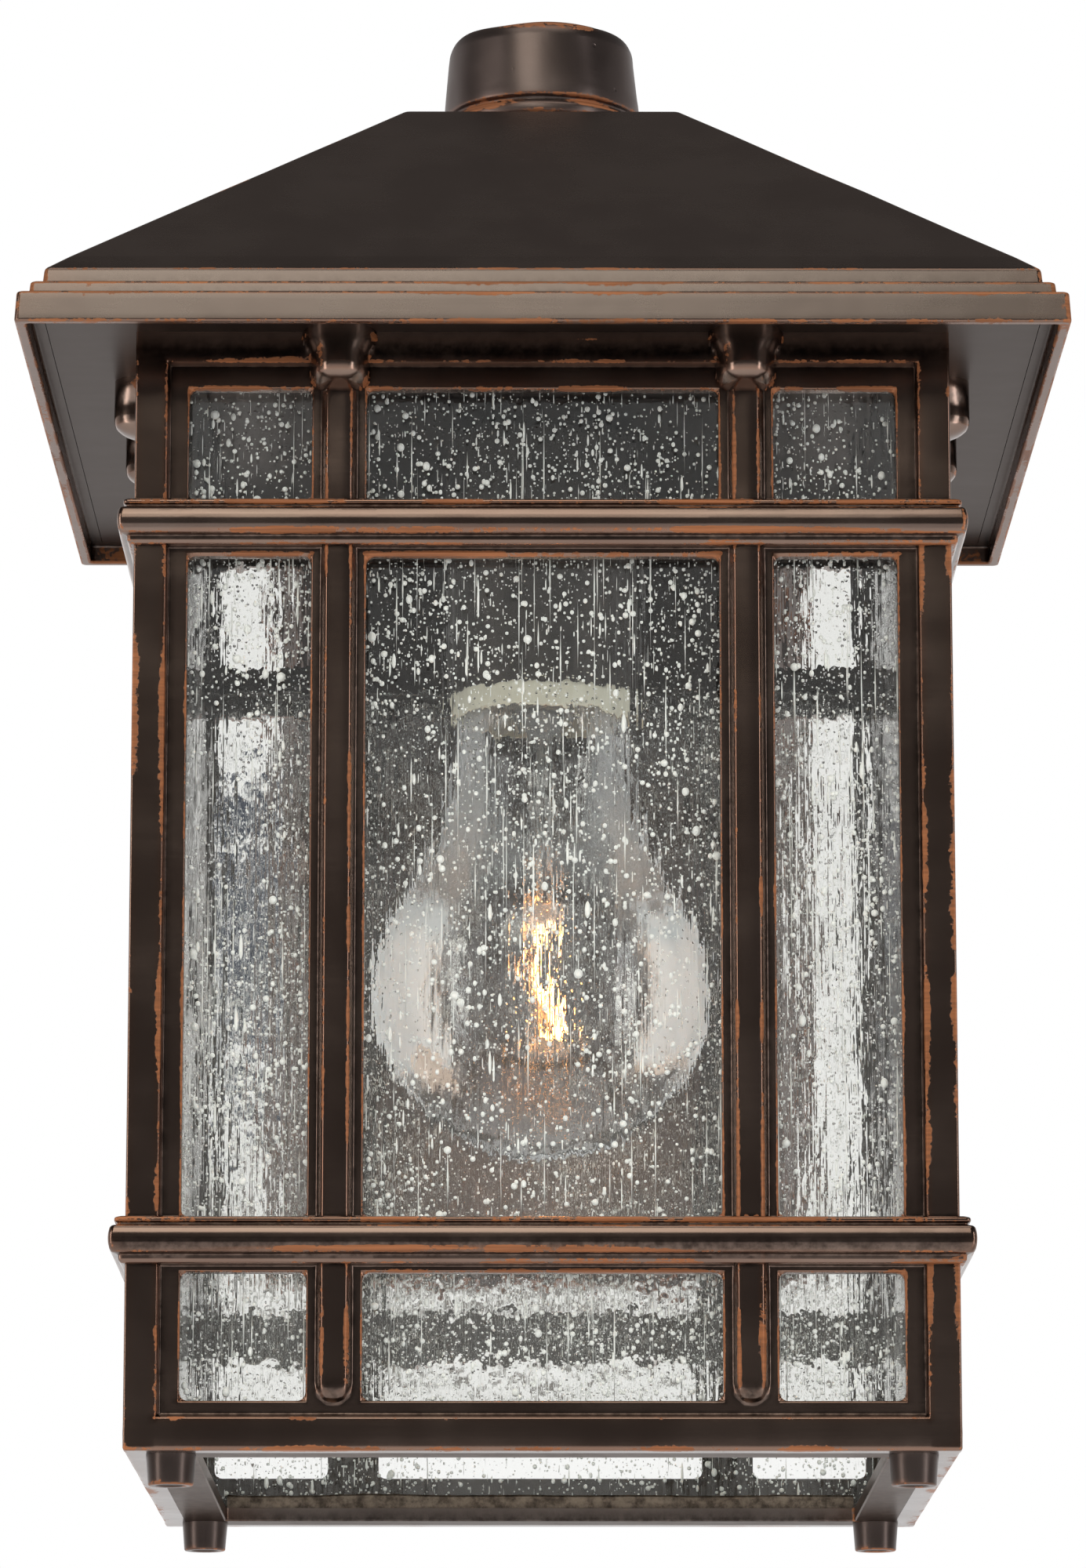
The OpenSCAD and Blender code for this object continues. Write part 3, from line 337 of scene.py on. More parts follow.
def bump_from(tree, shader, height, distance):
    """Small relief on a shader's normal."""
    bump = add(tree, "ShaderNodeBump", {"Height": height, "Distance": distance, "Strength": 1.0})
    feed(tree, bump.outputs["Normal"], shader.inputs["Normal"])


def bronze(name, dark, light, copper, wear, rough, relief=0.00014, grazing=WHITE):
    """Dark metallic coat with copper edges. Grazing tints what it mirrors at a flat angle."""
    material, tree, shader, _ = start_material(name, {"Specular Tint": grazing})
    edges = effect(tree, "rubbed_edges", Amount=wear)
    skin = effect(tree, "casting_skin")
    lines = effect(tree, "brush_lines")["Lines"]
    coat = blend(tree, skin["Tone"], dark, light)
    # Folds and the painted shade patches darken towards near black: grime and painted shade.
    coat = blend(tree, times(tree, effect(tree, "corner_grime_and_shade")["Mask"], 0.85), coat, GRIME_AND_SHADE)
    coat = blend(tree, times(tree, edges["Halo"], 0.2 * wear), coat, copper)
    bare = blend(tree, lines, copper, tuple(c * 0.6 for c in copper))
    feed(tree, blend(tree, edges["Mask"], coat, bare), shader.inputs["Base Color"])
    feed(tree, ramp(tree, edges["Mask"], 0.0, 1.0, 1.0, 0.35), shader.inputs["Metallic"])
    drift = plus(tree, times(tree, skin["Tone"], 0.65), times(tree, lines, 0.12), clamp=True)
    dull = plus(tree, ramp(tree, drift, 0.0, 1.0, *rough), times(tree, edges["Mask"], 0.2), clamp=True)
    feed(tree, dull, shader.inputs["Roughness"])
    bump_from(tree, shader, skin["Height"], relief)
    return material


BRONZE = bronze("bronze_casting", (0.198, 0.136, 0.110), (0.252, 0.182, 0.148), (0.36, 0.124, 0.043),
                1.0, (0.18, 0.28))
BRONZE_HOOD = bronze("bronze_hood", (0.160, 0.126, 0.110), (0.195, 0.157, 0.137), (0.33, 0.118, 0.043),
                     1.4, (0.25, 0.34), 0.0001, (1.0, 0.90, 0.86))
KNOB = bronze("bronze_knob", (0.142, 0.107, 0.096), (0.188, 0.145, 0.131), COPPER, 1.0, (0.34, 0.48), 0.0004)
FOOT = bronze("bronze_feet", (0.080, 0.060, 0.053), (0.110, 0.083, 0.073), COPPER, 1.0, (0.30, 0.42))
FLANGE = bronze("flange_coat", (0.135, 0.108, 0.096), (0.185, 0.150, 0.134), (0.30, 0.115, 0.045),
                0.8, (0.28, 0.38), grazing=(0.62, 0.56, 0.53))
# A darker, greyer copy of the hood's bronze for its underside and the ceiling plate: painted shade.
SHADED_UNDERSIDE = bronze("shaded_underside", (0.094, 0.084, 0.080), (0.130, 0.117, 0.112), (0.25, 0.11, 0.05),
                 0.2, (0.30, 0.40), grazing=(0.66, 0.62, 0.60))
# A darker copy of the bronze for the faces inside the body and the parts under the hood: painted shade.
SHADED_INSIDE = bronze("dark_inside", (0.045, 0.037, 0.032), (0.07, 0.058, 0.050), (0.16, 0.12, 0.10),
              0.2, (0.42, 0.54))
STRIP = bronze("stop_strip", (0.30, 0.235, 0.18), (0.40, 0.32, 0.25), (0.10, 0.075, 0.06),
               0.9, (0.30, 0.44))


# %% [markdown]
# ## Plain fittings
# Screws, sleeves and the parts of the socket show less, but each still has a surface of its own: a drifting
# tone, a grain, and relief. One maker serves them all, with the grain's stretch turning it into brush lines.


# %% Fitting materials
def fitting(name, first, second, metallic, rough, grain, stretch=None, relief=0.00005, clear=0.0):
    """A finish that drifts between two tones."""
    material, tree, shader, _ = start_material(name, {"Metallic": metallic, "Transmission Weight": clear})
    texture = noise_at(tree, grain, 4.0, stretch)
    tone = blend(tree, ramp(tree, texture, 0.3, 0.7), first, second)
    # Folds darken to a third of the tone: grime and painted shade.
    crease_darkening = times(tree, effect(tree, "corner_grime_and_shade")["Mask"], 0.6)
    feed(tree, blend(tree, crease_darkening, tone, tuple(0.35 * c for c in first)), shader.inputs["Base Color"])
    feed(tree, ramp(tree, texture, 0.25, 0.75, rough - 0.07, rough + 0.09), shader.inputs["Roughness"])
    bump_from(tree, shader, texture, relief)
    return material


BRUSHED = (1.0, 1.0, 6.0)
ZINC = fitting("zinc_plating", (0.55, 0.53, 0.46), (0.68, 0.66, 0.60), 1.0, 0.34, 260.0)
STEEL = fitting("galvanised_bar", (0.50, 0.50, 0.49), (0.66, 0.66, 0.65), 1.0, 0.42, 180.0, (1.0, 1.0, 3.0))
BRASS = fitting("dull_brass", (0.62, 0.46, 0.22), (0.74, 0.57, 0.30), 1.0, 0.32, 300.0, BRUSHED)
ALLOY = fitting("bulb_cap_alloy", (0.60, 0.55, 0.44), (0.74, 0.69, 0.57), 1.0, 0.28, 340.0, BRUSHED)
CREAM = fitting("cream_sleeve", (0.80, 0.76, 0.62), (0.88, 0.85, 0.72), 0.0, 0.62, 500.0, (1.0, 1.0, 0.4))
PHENOLIC = fitting("black_insulator", (0.030, 0.027, 0.026), (0.05, 0.045, 0.043), 0.0, 0.32, 700.0)
SOLDER = fitting("tin_solder", (0.50, 0.50, 0.49), (0.70, 0.70, 0.68), 1.0, 0.45, 900.0)
FOAM = fitting("gasket_foam", (0.025, 0.025, 0.025), (0.06, 0.06, 0.06), 0.0, 0.92, 1500.0, None, 0.0003)
GREEN = fitting("green_screw", (0.045, 0.30, 0.11), (0.07, 0.40, 0.16), 0.6, 0.36, 400.0)
LEAD_BLACK = fitting("black_sleeve", (0.02, 0.02, 0.02), (0.045, 0.045, 0.045), 0.0, 0.48, 900.0)
LEAD_WHITE = fitting("white_sleeve", (0.76, 0.75, 0.70), (0.84, 0.83, 0.79), 0.0, 0.45, 900.0)
LEAD_GREEN = fitting("green_sleeve", (0.05, 0.27, 0.10), (0.09, 0.36, 0.15), 0.0, 0.45, 900.0)
ORANGE = fitting("orange_shell", (0.78, 0.27, 0.05), (0.86, 0.35, 0.08), 0.0, 0.42, 600.0)
CUP = fitting("dark_cup", (0.045, 0.038, 0.034), (0.07, 0.060, 0.053), 0.7, 0.42, 300.0)
PRESS = fitting("pressed_glass", (0.80, 0.80, 0.78), (0.92, 0.92, 0.90), 0.0, 0.20, 900.0, None, 0.0001, 0.85)
PAPER = fitting("pale_floor", (0.84, 0.835, 0.82), (0.85, 0.845, 0.83), 0.0, 0.8, 2.0)
floor_mesh.materials.append(PAPER)
print("materials:", len(bpy.data.materials))


# %% [markdown]
# ## Seeded glass
# Seeded glass is sheet glass made with the bubbles left in. Light bends at its two faces and again at each
# bubble. The panes are real 3 mm slabs with real bubbles, and the drawn faces add upright waves and tiny
# seeds as relief. Lamps must shine through, so for shadow rays the glass is swapped for a clear shader.


# %% Glass materials
def glass(name, tint, waves, seeds=0.0):
    """Clear glass with drawn waves and fine seeds, and the node that swaps it for a clear shader."""
    values = {"Base Color": tint, "Roughness": 0.0, "IOR": 1.5, "Transmission Weight": 1.0}
    material, tree, shader, output = start_material(name, values)
    if waves:
        long_waves = noise_at(tree, 1.0, 3.0, (430.0, 430.0, 13.0))
        soft_waves = noise_at(tree, 1.0, 2.0, (350.0, 350.0, 190.0))
        strong = ramp(tree, noise_at(tree, 1.0, 2.0, (45.0, 45.0, 20.0)), 0.35, 0.65, 0.6, 1.7)
        height = plus(tree, times(tree, long_waves, waves), times(tree, soft_waves, waves * 0.95))
        height = times(tree, height, strong)
        if seeds:
            cells = add(tree, "ShaderNodeTexVoronoi", {"Vector": own_space(tree), "Scale": 1150.0}).outputs
            dots = ramp(tree, cells["Distance"], 0.10, 0.34, 1.0, 0.0)
            picked = times(tree, dots, ramp(tree, cells["Color"], 0.55, 0.60))
            height = plus(tree, height, times(tree, picked, seeds))
        bump_from(tree, shader, height, 0.001)
    clear = add(tree, "ShaderNodeBsdfTransparent", {"Color": (0.93, 0.95, 0.94)})
    shadow = add(tree, "ShaderNodeLightPath").outputs["Is Shadow Ray"]
    swap = add(tree, "ShaderNodeMixShader", {0: shadow, 1: shader.outputs["BSDF"], 2: clear.outputs["BSDF"]})
    feed(tree, swap.outputs["Shader"], output.inputs["Surface"])
    return material, shader, swap


def glass_with_painted_sheen(name, sheen_colour, shares, rim_from, rim_to, waves=0.0, places=None, outer=None):
    """Glass that is clear seen straight on and turns to a white shader towards its rim, a painted sheen.
    Places say where the painted sheen may go.
    """
    material, shader, swap = glass(name, WHITE, waves)
    tree = material.node_tree
    facing = add(tree, "ShaderNodeLayerWeight", {"Blend": 0.5}).outputs["Facing"]
    share = ramp(tree, facing, rim_from, rim_to, *shares)
    if outer:
        share = times(tree, share, ramp(tree, facing, rim_to, 0.95, 1.0, outer))
    if places:
        share = times(tree, share, places(tree))
    white = add(tree, "ShaderNodeBsdfPrincipled", {"Base Color": sheen_colour, "Roughness": 0.3})
    mix = add(tree, "ShaderNodeMixShader", {0: share, 1: shader.outputs["BSDF"], 2: white.outputs["BSDF"]})
    feed(tree, mix.outputs["Shader"], swap.inputs[1])
    return material


def bulb_painted_reflections(tree):
    """Where the bulb gets painted reflections: two soft white patches at its sides, and a thinner one up its
    neck.
    """
    x, _, z = add(tree, "ShaderNodeSeparateXYZ", {"Vector": own_space(tree)}).outputs
    rag = ramp(tree, noise_at(tree, 130.0, 3.0), 0.3, 0.7, -3.0 * MM, 3.0 * MM)
    up = plus(tree, z, rag)
    side = ramp(tree, plus(tree, maths(tree, "ABSOLUTE", x), rag), 14.0 * MM, 19.5 * MM)
    low = ramp(tree, up, (78.0 - DROP) * MM, (81.0 - DROP) * MM)
    high = ramp(tree, up, (104.0 - DROP) * MM, (109.0 - DROP) * MM, 1.0, 0.0)
    neck = ramp(tree, z, (106.0 - DROP) * MM, (122.0 - DROP) * MM, 0.12, 0.4)
    return maths(tree, "MAXIMUM", times(tree, low, high, side), times(tree, low, neck))


SEEDED = glass("seeded_glass", (0.935, 0.937, 0.92), 0.092, 0.04)[0]
# Bubble skins turn mostly white: painted glints, standing for the light the bubbles catch.
SEED_SKIN = glass_with_painted_sheen("seed_skin", (0.98, 0.98, 0.95), (0.75, 1.0), 0.15, 0.7)
# The bulb's white side patches and neck are painted reflections of the soft boxes.
BLOWN = glass_with_painted_sheen("blown_glass", (0.92, 0.95, 0.98), (0.0, 0.62), 0.19, 0.31, 0.03, bulb_painted_reflections, 0.7)

# %% Glowing filament
coil_values = {"Base Color": (0.35, 0.25, 0.18), "Emission Strength": 30.0}
GLOW, tree, shader, _ = start_material("glowing_coil", coil_values)
hot = ramp(tree, noise_at(tree, 420.0, 2.0), 0.35, 0.65)
feed(tree, blend(tree, hot, (1.0, 0.32, 0.055), (1.0, 0.48, 0.13)), shader.inputs["Emission Color"])


# %% [markdown]
# ## Mesh tools
# Every piece is written as a shape: its points and its faces. The object maker turns a shape into a mesh,
# measures at each point how far its faces bulge or fold, and stores that for the wear. A weighted normal
# modifier keeps broad faces flat to the eye while the narrow rounded edges catch the light.


# %% Marks for the wear
def mark_edges(mesh, spread):
    """Paint how sharply each point bulges and folds, and let the wear spread from the edges."""
    work = bmesh.new()
    work.from_mesh(mesh)
    bulge, fold = np.zeros(len(work.verts)), np.zeros(len(work.verts))
    for edge in work.edges:
        if len(edge.link_faces) != 2:
            continue
        angle = edge.calc_face_angle_signed(0.0)
        for vert in edge.verts:
            bulge[vert.index] = max(bulge[vert.index], angle)
            fold[vert.index] = max(fold[vert.index], -angle)
    places = [vert.co.copy() for vert in work.verts]
    work.free()
    for name, values in (("bulge", bulge), ("fold", fold)):
        values = np.clip((values - 0.13) / 0.22, 0.0, 1.0)
        marked = [k for k in range(len(values)) if values[k] > 0.3]
        nearest = kdtree.KDTree(len(marked))
        for k in marked:
            nearest.insert(places[k], k)
        nearest.balance()
        for k, place in enumerate(places if marked else []):
            _, source, gap = nearest.find(place)
            values[k] = max(values[k], values[source] * (1.0 - gap / spread))
        layer = mesh.attributes.new(name, "FLOAT", "POINT")
        layer.data.foreach_set("value", values.astype(np.float32))


def touch(obj, layer_name, place, size, change):
    """Change one painted number near a place. The place and the half sizes are lantern millimetres."""
    marks = np.zeros(len(obj.data.vertices))
    spots = np.zeros(len(obj.data.vertices) * 3)
    layer = obj.data.attributes[layer_name].data
    layer.foreach_get("value", marks)
    obj.data.vertices.foreach_get("co", spots)
    away = (spots.reshape(-1, 3) / MM + [0.0, REACH, DROP] - place) / size
    near = np.clip(1.3 - np.linalg.norm(away, axis=1), 0.0, 1.0)
    layer.foreach_set("value", change(marks, near).astype(np.float32))


def rub(obj, place, size, amount=2.0):
    """Mark one patch of an object as rubbed hard."""
    touch(obj, "bulge", place, size, lambda marks, near: np.maximum(marks, amount * near))


def spare(obj, place, size):
    """Keep the coat whole in one patch."""
    touch(obj, "bulge", place, size, lambda marks, near: marks * (1.0 - near))


def paint_shade(obj, place, size):
    """Darken one patch with painted shade."""
    touch(obj, "fold", place, size, np.maximum)


# %% Object maker
def make(name, shape, material, node, body="fixture", to_scene=lantern, sharp=38.0, marks=True,
         spread=0.7):
    """An object from a shape in millimetres, riding on a body in place of a CAD node."""
    points, faces = shape
    mesh = bpy.data.meshes.new(name)
    mesh.from_pydata([tuple(p) for p in to_scene(points)], [], faces)
    mesh.update()
    if marks:
        mark_edges(mesh, spread * MM)
    mesh.polygons.foreach_set("use_smooth", [True] * len(mesh.polygons))
    mesh.set_sharp_from_angle(angle=math.radians(sharp))
    mesh.materials.append(material)
    obj = bpy.data.objects.new(name, mesh)
    bpy.context.scene.collection.objects.link(obj)
    if marks:
        obj.modifiers.new("flat_faces", "WEIGHTED_NORMAL").keep_sharp = True
    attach(obj, body)
    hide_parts(node)
    return obj


# %% Shapes
def joined(*shapes):
    """Several shapes as one."""
    points, faces = [], []
    for more, more_faces in shapes:
        faces += [tuple(i + len(points) for i in face) for face in more_faces]
        points += [tuple(p) for p in more]
    return np.array(points), faces


def moved(shape, by, grow=(1.0, 1.0, 1.0)):
    """A shape grown along its axes, then moved."""
    return shape[0] * grow + by, shape[1]


def on_wall(shape):
    """A shape drawn lying down, with its height turned into its reach from the wall."""
    return np.array(shape[0])[:, [0, 2, 1]] * [1.0, -1.0, 1.0], shape[1]


def turned_about(shape, degrees):
    """A shape turned about the lantern's upright axis."""
    c, s = math.cos(math.radians(degrees)), math.sin(math.radians(degrees))
    x, y, z = np.asarray(shape[0], float).T
    return np.stack([c * x - s * y, s * x + c * y, z], 1), shape[1]


def belts(rows, width):
    """The faces between rows of points, where each row is a closed ring."""
    faces = []
    for low in range(0, (rows - 1) * width, width):
        for k in range(width):
            n = (k + 1) % width
            faces.append((low + k, low + n, low + width + n, low + width + k))
    return faces


def turned(profile, sides, centre=(0.0, 0.0), wobble=0.0, along_y=False):
    """A shape turned on a lathe from (radius, height) pairs. It closes where the radius is nothing."""
    points, rings, faces = [], [], []
    for radius, height in profile:
        closed = radius < 1e-6
        rings.append(range(len(points), len(points) + (1 if closed else sides)))
        for k in range(len(rings[-1])):
            turn = 2.0 * math.pi * k / sides
            x, y = math.cos(turn), math.sin(turn)
            grow = radius + wobble * noise.noise(Vector((x * 1.3, y * 1.3, height * 0.25)))
            points.append((0.0, 0.0, height) if closed else (grow * x, grow * y, height))
    for low, high in zip(rings, rings[1:]):
        for k in range(sides):
            n = (k + 1) % sides
            if len(low) == 1 and len(high) > 1:
                faces.append((low[0], high[n], high[k]))
            elif len(low) > 1 and len(high) == 1:
                faces.append((low[k], low[n], high[0]))
            elif len(low) > 1:
                faces.append((low[k], low[n], high[n], high[k]))
    points = np.array(points)
    if along_y:
        points = points[:, [0, 2, 1]] * [-1.0, 1.0, 1.0]
    return points + [centre[0], centre[1], 0.0], faces


def framed(profile, arc, along, capped=False):
    """Rounded rectangles joined into a skin. Each row is (half width, half depth, height, corner radius)."""
    corners = ((1, -1, -90, 0, 1), (1, 1, 0, -1, 0), (-1, 1, 90, 0, -1), (-1, -1, 180, 1, 0))
    points = []
    for a, b, z, r in profile:
        r = min(r, a, b)
        for sx, sy, start, step_x, step_y in corners:
            for k in range(arc + 1):
                turn = math.radians(start + 90.0 * k / arc)
                points.append((sx * (a - r) + r * math.cos(turn), sy * (b - r) + r * math.sin(turn), z))
            length = 2.0 * ((b - r) if step_x == 0 else (a - r))
            x0, y0, _ = points[-1]
            for k in range(1, along):
                points.append((x0 + step_x * length * k / along, y0 + step_y * length * k / along, z))
    width = len(points) // len(profile)
    faces = belts(len(profile), width)
    if capped:
        faces.append(tuple(range(len(points) - width, len(points))))
    return np.array(points), faces


def tube(path, radius, sides):
    """A round tube along a path, closed at both ends."""
    path = [Vector(p) for p in path]
    points = []
    side = None
    for i, place in enumerate(path):
        heading = (path[min(i + 1, len(path) - 1)] - path[max(i - 1, 0)]).normalized()
        if side is None:
            side = heading.orthogonal().normalized()
        side = (side - side.dot(heading) * heading).normalized()
        other = heading.cross(side)
        for k in range(sides):
            turn = 2.0 * math.pi * k / sides
            points.append(place + radius * (math.cos(turn) * side + math.sin(turn) * other))
    ends = [tuple(reversed(range(sides))), tuple(range((len(path) - 1) * sides, len(path) * sides))]
    return np.array([tuple(p) for p in points]), belts(len(path), sides) + ends


# %% Outlines
def rounded(profile, radius, steps):
    """Round the corners of an open outline with short arcs."""
    points = [np.array(p, float) for p in profile]
    result = [points[0]]
    for before, here, after in zip(points, points[1:], points[2:]):
        one, two = before - here, after - here
        reach = min(radius, np.linalg.norm(one) * 0.49, np.linalg.norm(two) * 0.49)
        first = here + one / np.linalg.norm(one) * reach
        last = here + two / np.linalg.norm(two) * reach
        for t in np.arange(steps + 1) / steps:
            result.append((1 - t) ** 2 * first + 2 * t * (1 - t) * here + t * t * last)
    return result + [points[-1]]


def supported(profile, gap=1.0):
    """Add points near both ends of each long stretch, so wear stays near the edges."""
    result = [profile[0]]
    for start, end in zip(profile, profile[1:]):
        start, end = np.asarray(start, float), np.asarray(end, float)
        length = np.linalg.norm(end - start)
        if length > 2.4 * gap:
            result += [start + (end - start) * gap / length, end - (end - start) * gap / length]
        result.append(end)
    return result


def s_curve(t):
    """Smooth step from 0 to 1."""
    t = np.clip(t, 0.0, 1.0)
    return t * t * (3.0 - 2.0 * t)


# %% [markdown]
# ## The four cast panels
# Each side is one casting: a flat frame, a step sunk behind it, upright mullions with a raised bead, corbels
# under the roof, and two moulded bands that wrap the body. A casting has no undercuts, so its face is a
# relief, one height for each place. The panel is a grid with close lines at every edge, lifted to it. In
# front, lists of patches say, as in the photograph, where the coat is rubbed or spared and where painted
# shade darkens it.

# %% Panel sizes
FRAME_EDGE = 63.5
OPEN_HALF = 60.0
ROWS = [(13.5, 34.8), (43.9, 156.7), (166.1, 185.8)]
BAND_TOPS = [43.9, 166.1]
STEP_LOW = 10.9
STEP_HIGH = 190.0
BODY_LOW = 5.1
MULLION_HALF = 4.65
CORNER_R = 1.4
BEAD_FOOT = 16.3
CORBEL_FOOT = 185.2
CORBEL_OUT = 7.2
LIP = 0.35
CROWN = 0.16
BAND = rounded([(-8.45, -SUNK), (-7.97, -SUNK), (-7.85, 0.75), (-7.35, 1.18), (-6.45, 1.25), (-6.15, 2.3),
                (-5.6, 2.62), (-4.7, 2.82), (-3.85, 2.88), (-3.0, 2.82), (-2.1, 2.62), (-1.7, 2.3),
                (-1.58, 1.42), (-1.15, 1.42), (-0.98, 1.9), (-0.35, 1.85), (-0.05, 1.1), (0.02, -0.4),
                (0.3, -SUNK), (0.4, -SUNK)], 0.22, 3)
BAND_Z, BAND_OUT = np.array(BAND).T


# %% Panel relief
def band_at(z):
    """How far the bands stand out at a height."""
    return np.maximum(*(np.interp(z - top, BAND_Z, BAND_OUT, left=-SUNK, right=-SUNK) for top in BAND_TOPS))


def corbel_at(across, z):
    """Relief of a corbel by distance from its middle and height."""
    foot = np.clip((188.8 - z) / 3.6, 0.0, 1.0)
    half = 5.0 + 1.3 * s_curve((z - 190.5) / 4.0)
    spread = np.clip((across / half) ** 2.6 + foot ** 2.4, 0.0, 1.0)
    return np.where(z > CORBEL_FOOT, CORBEL_OUT * np.sqrt(1.0 - spread) - SUNK, -SUNK)


def relief(x, z, mullions, openings):
    """Height of a panel's face over its frame."""
    inside = np.minimum(FRAME_EDGE - np.abs(x), np.minimum(z - STEP_LOW, STEP_HIGH - z))
    height = -SUNK * s_curve((inside + 0.35) / 0.7)
    stile = np.where(np.abs(x) > FRAME_EDGE, 1.0 - ((np.abs(x) - 66.25) / 2.75) ** 2, 0.0)
    rails = np.maximum(1.0 - ((z - 8.0) / 2.9) ** 2, 1.0 - ((z - 192.7) / 2.8) ** 2)
    height = height + CROWN * np.maximum(np.maximum(stile, rails), 0.0) * s_curve((0.4 - inside) / 0.8)
    for middle in mullions:
        across = np.abs(x - middle)
        end = np.hypot(across, 0.9 * np.maximum(0.0, BEAD_FOOT - z))
        bead = -SUNK + (SUNK - 0.25) * (1.0 - s_curve((end - 1.95) / 1.3))
        bead = bead + 0.4 * np.maximum(0.0, 1.0 - (end / 2.5) ** 2)
        height = np.maximum(np.maximum(height, bead), corbel_at(across, z))
    height = np.maximum(height, band_at(z))
    for x0, x1, z0, z1 in openings:
        outside = np.maximum(np.maximum(x0 - x, x - x1), np.maximum(z0 - z, z - z1))
        near = np.clip(LIP - outside, 0.0, LIP)
        height = height - (LIP - np.sqrt(LIP ** 2 - near ** 2))
    return height


# %% Panel grid
FRAME_LINES = (66.8, 65.2, 64.15, 63.9, 63.74, 63.6, 63.5, 63.4, 63.26, 63.1, 62.85, 61.8, 60.55, 60.35, 60.2,
               60.1, 60.03, 60.0, 59.9, 59.7, 59.3, 58.6)
MULLION_LINES = (0.0, 0.9, 1.5, 1.85, 2.1, 2.4, 2.75, 3.05, 3.3, 3.55, 3.7, 3.9, 4.15, 4.3, 4.45, 4.62, 4.65,
                 4.75, 4.8, 4.95, 5.15, 5.4, 5.75, 6.05, 6.3, 6.7)
FOOT_LINES = (5.1, 5.12, 5.2, 5.33, 5.6, 5.9, 6.9, 8.0, 9.2, 10.3, 10.5, 10.66, 10.8, 10.9, 11.0, 11.14, 11.3,
              11.55, 12.0, 12.35, 12.65, 12.95, 13.15, 13.3, 13.4, 13.47, 15.6, 16.3)
HEAD_LINES = (185.2, 185.45, 185.6, 185.95, 186.05, 186.2, 186.5, 187.0, 187.35, 187.7, 188.6, 189.1, 189.4,
              189.66, 189.8, 189.9, 190.0, 190.1, 190.2, 190.34, 190.6, 191.1, 191.6, 192.3, 193.0, 194.2,
              195.5)
OPENING_LINES = (0.0, 0.1, 0.3, 0.7, 1.4)
BAND_LINES = (-8.75, -8.85, -8.95, -3.8)


def panel_openings(mullions, closed_cell):
    """The glass openings as (x0, x1, z0, z1). A panel with a closed cell is solid behind the arm."""
    edges = [-OPEN_HALF]
    for middle in mullions:
        edges += [middle - MULLION_HALF, middle + MULLION_HALF]
    edges.append(OPEN_HALF)
    cells = [(x0, x1, z0, z1) for z0, z1 in ROWS for x0, x1 in zip(edges[::2], edges[1::2])]
    return [c for c in cells if not (closed_cell and c[3] == ROWS[2][1] and c[0] < 0.0 < c[1])]


def grid_lines(mullions):
    """Lines across and up the panel, close together at each edge."""
    xs = [side * d for d in FRAME_LINES for side in (-1.0, 1.0)]
    xs += [middle + side * d for middle in mullions for d in MULLION_LINES for side in (-1.0, 1.0)]
    zs = list(FOOT_LINES + HEAD_LINES)
    for z0, z1 in ROWS:
        zs += [z0 + d for d in OPENING_LINES] + [z1 - d for d in OPENING_LINES]
        zs += list(np.round(np.linspace(z0 + 4.0, z1 - 4.0, max(2, int((z1 - z0) / 9))), 2))
    for top in BAND_TOPS:
        zs += list(top + BAND_Z) + [top + d for d in BAND_LINES]
    xs = sorted(set(round(float(x), 3) for x in xs))
    zs = sorted(set(round(float(z), 3) for z in zs))
    zs = [z for k, z in enumerate(zs) if k == 0 or z - zs[k - 1] > 0.012 or any(z in row for row in ROWS)]
    return np.array(xs), np.array(zs)


def round_opening(x, z, cells):
    """Move the points at an opening's corners on to an arc."""
    for x0, x1, z0, z1 in cells:
        if x < x0 - 1e-6 or x > x1 + 1e-6 or z < z0 - 1e-6 or z > z1 + 1e-6:
            continue
        dx, dz = min(x - x0, x1 - x), min(z - z0, z1 - z)
        if min(dx, dz) > 1e-6 or max(dx, dz) >= CORNER_R:
            continue
        near_x, sx = (x0, 1.0) if x - x0 < x1 - x else (x1, -1.0)
        near_z, sz = (z0, 1.0) if z - z0 < z1 - z else (z1, -1.0)
        turn = math.radians(45.0 * (1.0 - max(dx, dz) / CORNER_R))
        near, far = CORNER_R * (1.0 - math.cos(turn)), CORNER_R * (1.0 - math.sin(turn))
        move_x, move_z = (near, far) if dx <= dz else (far, near)
        return near_x + sx * move_x, near_z + sz * move_z
    return x, z


# %% Panel maker
def holds(cells, x, z):
    """Whether a place lies in one of the openings."""
    return any(x0 < x < x1 and z0 < z < z1 for x0, x1, z0, z1 in cells)


def panel_face(xs, zs, cells, mullions, degrees):
    """Columns of points over a panel's face. The first and last four bend round the body's corners."""
    fall = np.clip(0.5 - (zs - BODY_LOW), 0.0, 0.5)
    drop = 0.5 - np.sqrt(0.25 - fall ** 2)
    face = relief(*np.meshgrid(xs, zs, indexing="ij"), mullions, cells) - drop[None, :]
    end = relief(np.full_like(zs, 67.5), zs, mullions, []) - drop
    columns = {}
    for side in (-1.0, 1.0):
        for turn in (0.0, 15.0, 30.0, 45.0):
            bend = 0.45 + 0.22 * np.maximum(end, 0.0)
            middle = HALF + end - bend
            across = side * (middle + bend * math.sin(math.radians(turn)))
            out = -(middle + bend * math.cos(math.radians(turn)))
            columns[side, turn] = list(zip(across, out, zs))
    flat = []
    for column, value in enumerate(xs):
        flat.append([])
        for j, z in enumerate(zs):
            x, up = round_opening(value, z, cells)
            cast = noise.noise(Vector((x * 0.07, degrees * 0.1, z * 0.07))) * s_curve((68.5 - abs(x)) / 3.0)
            flat[-1].append((x, -(HALF + face[column, j] + 0.10 * float(cast)), up))
    return ([columns[-1.0, turn] for turn in (45.0, 30.0, 15.0, 0.0)] + flat
            + [columns[1.0, turn] for turn in (0.0, 15.0, 30.0, 45.0)])


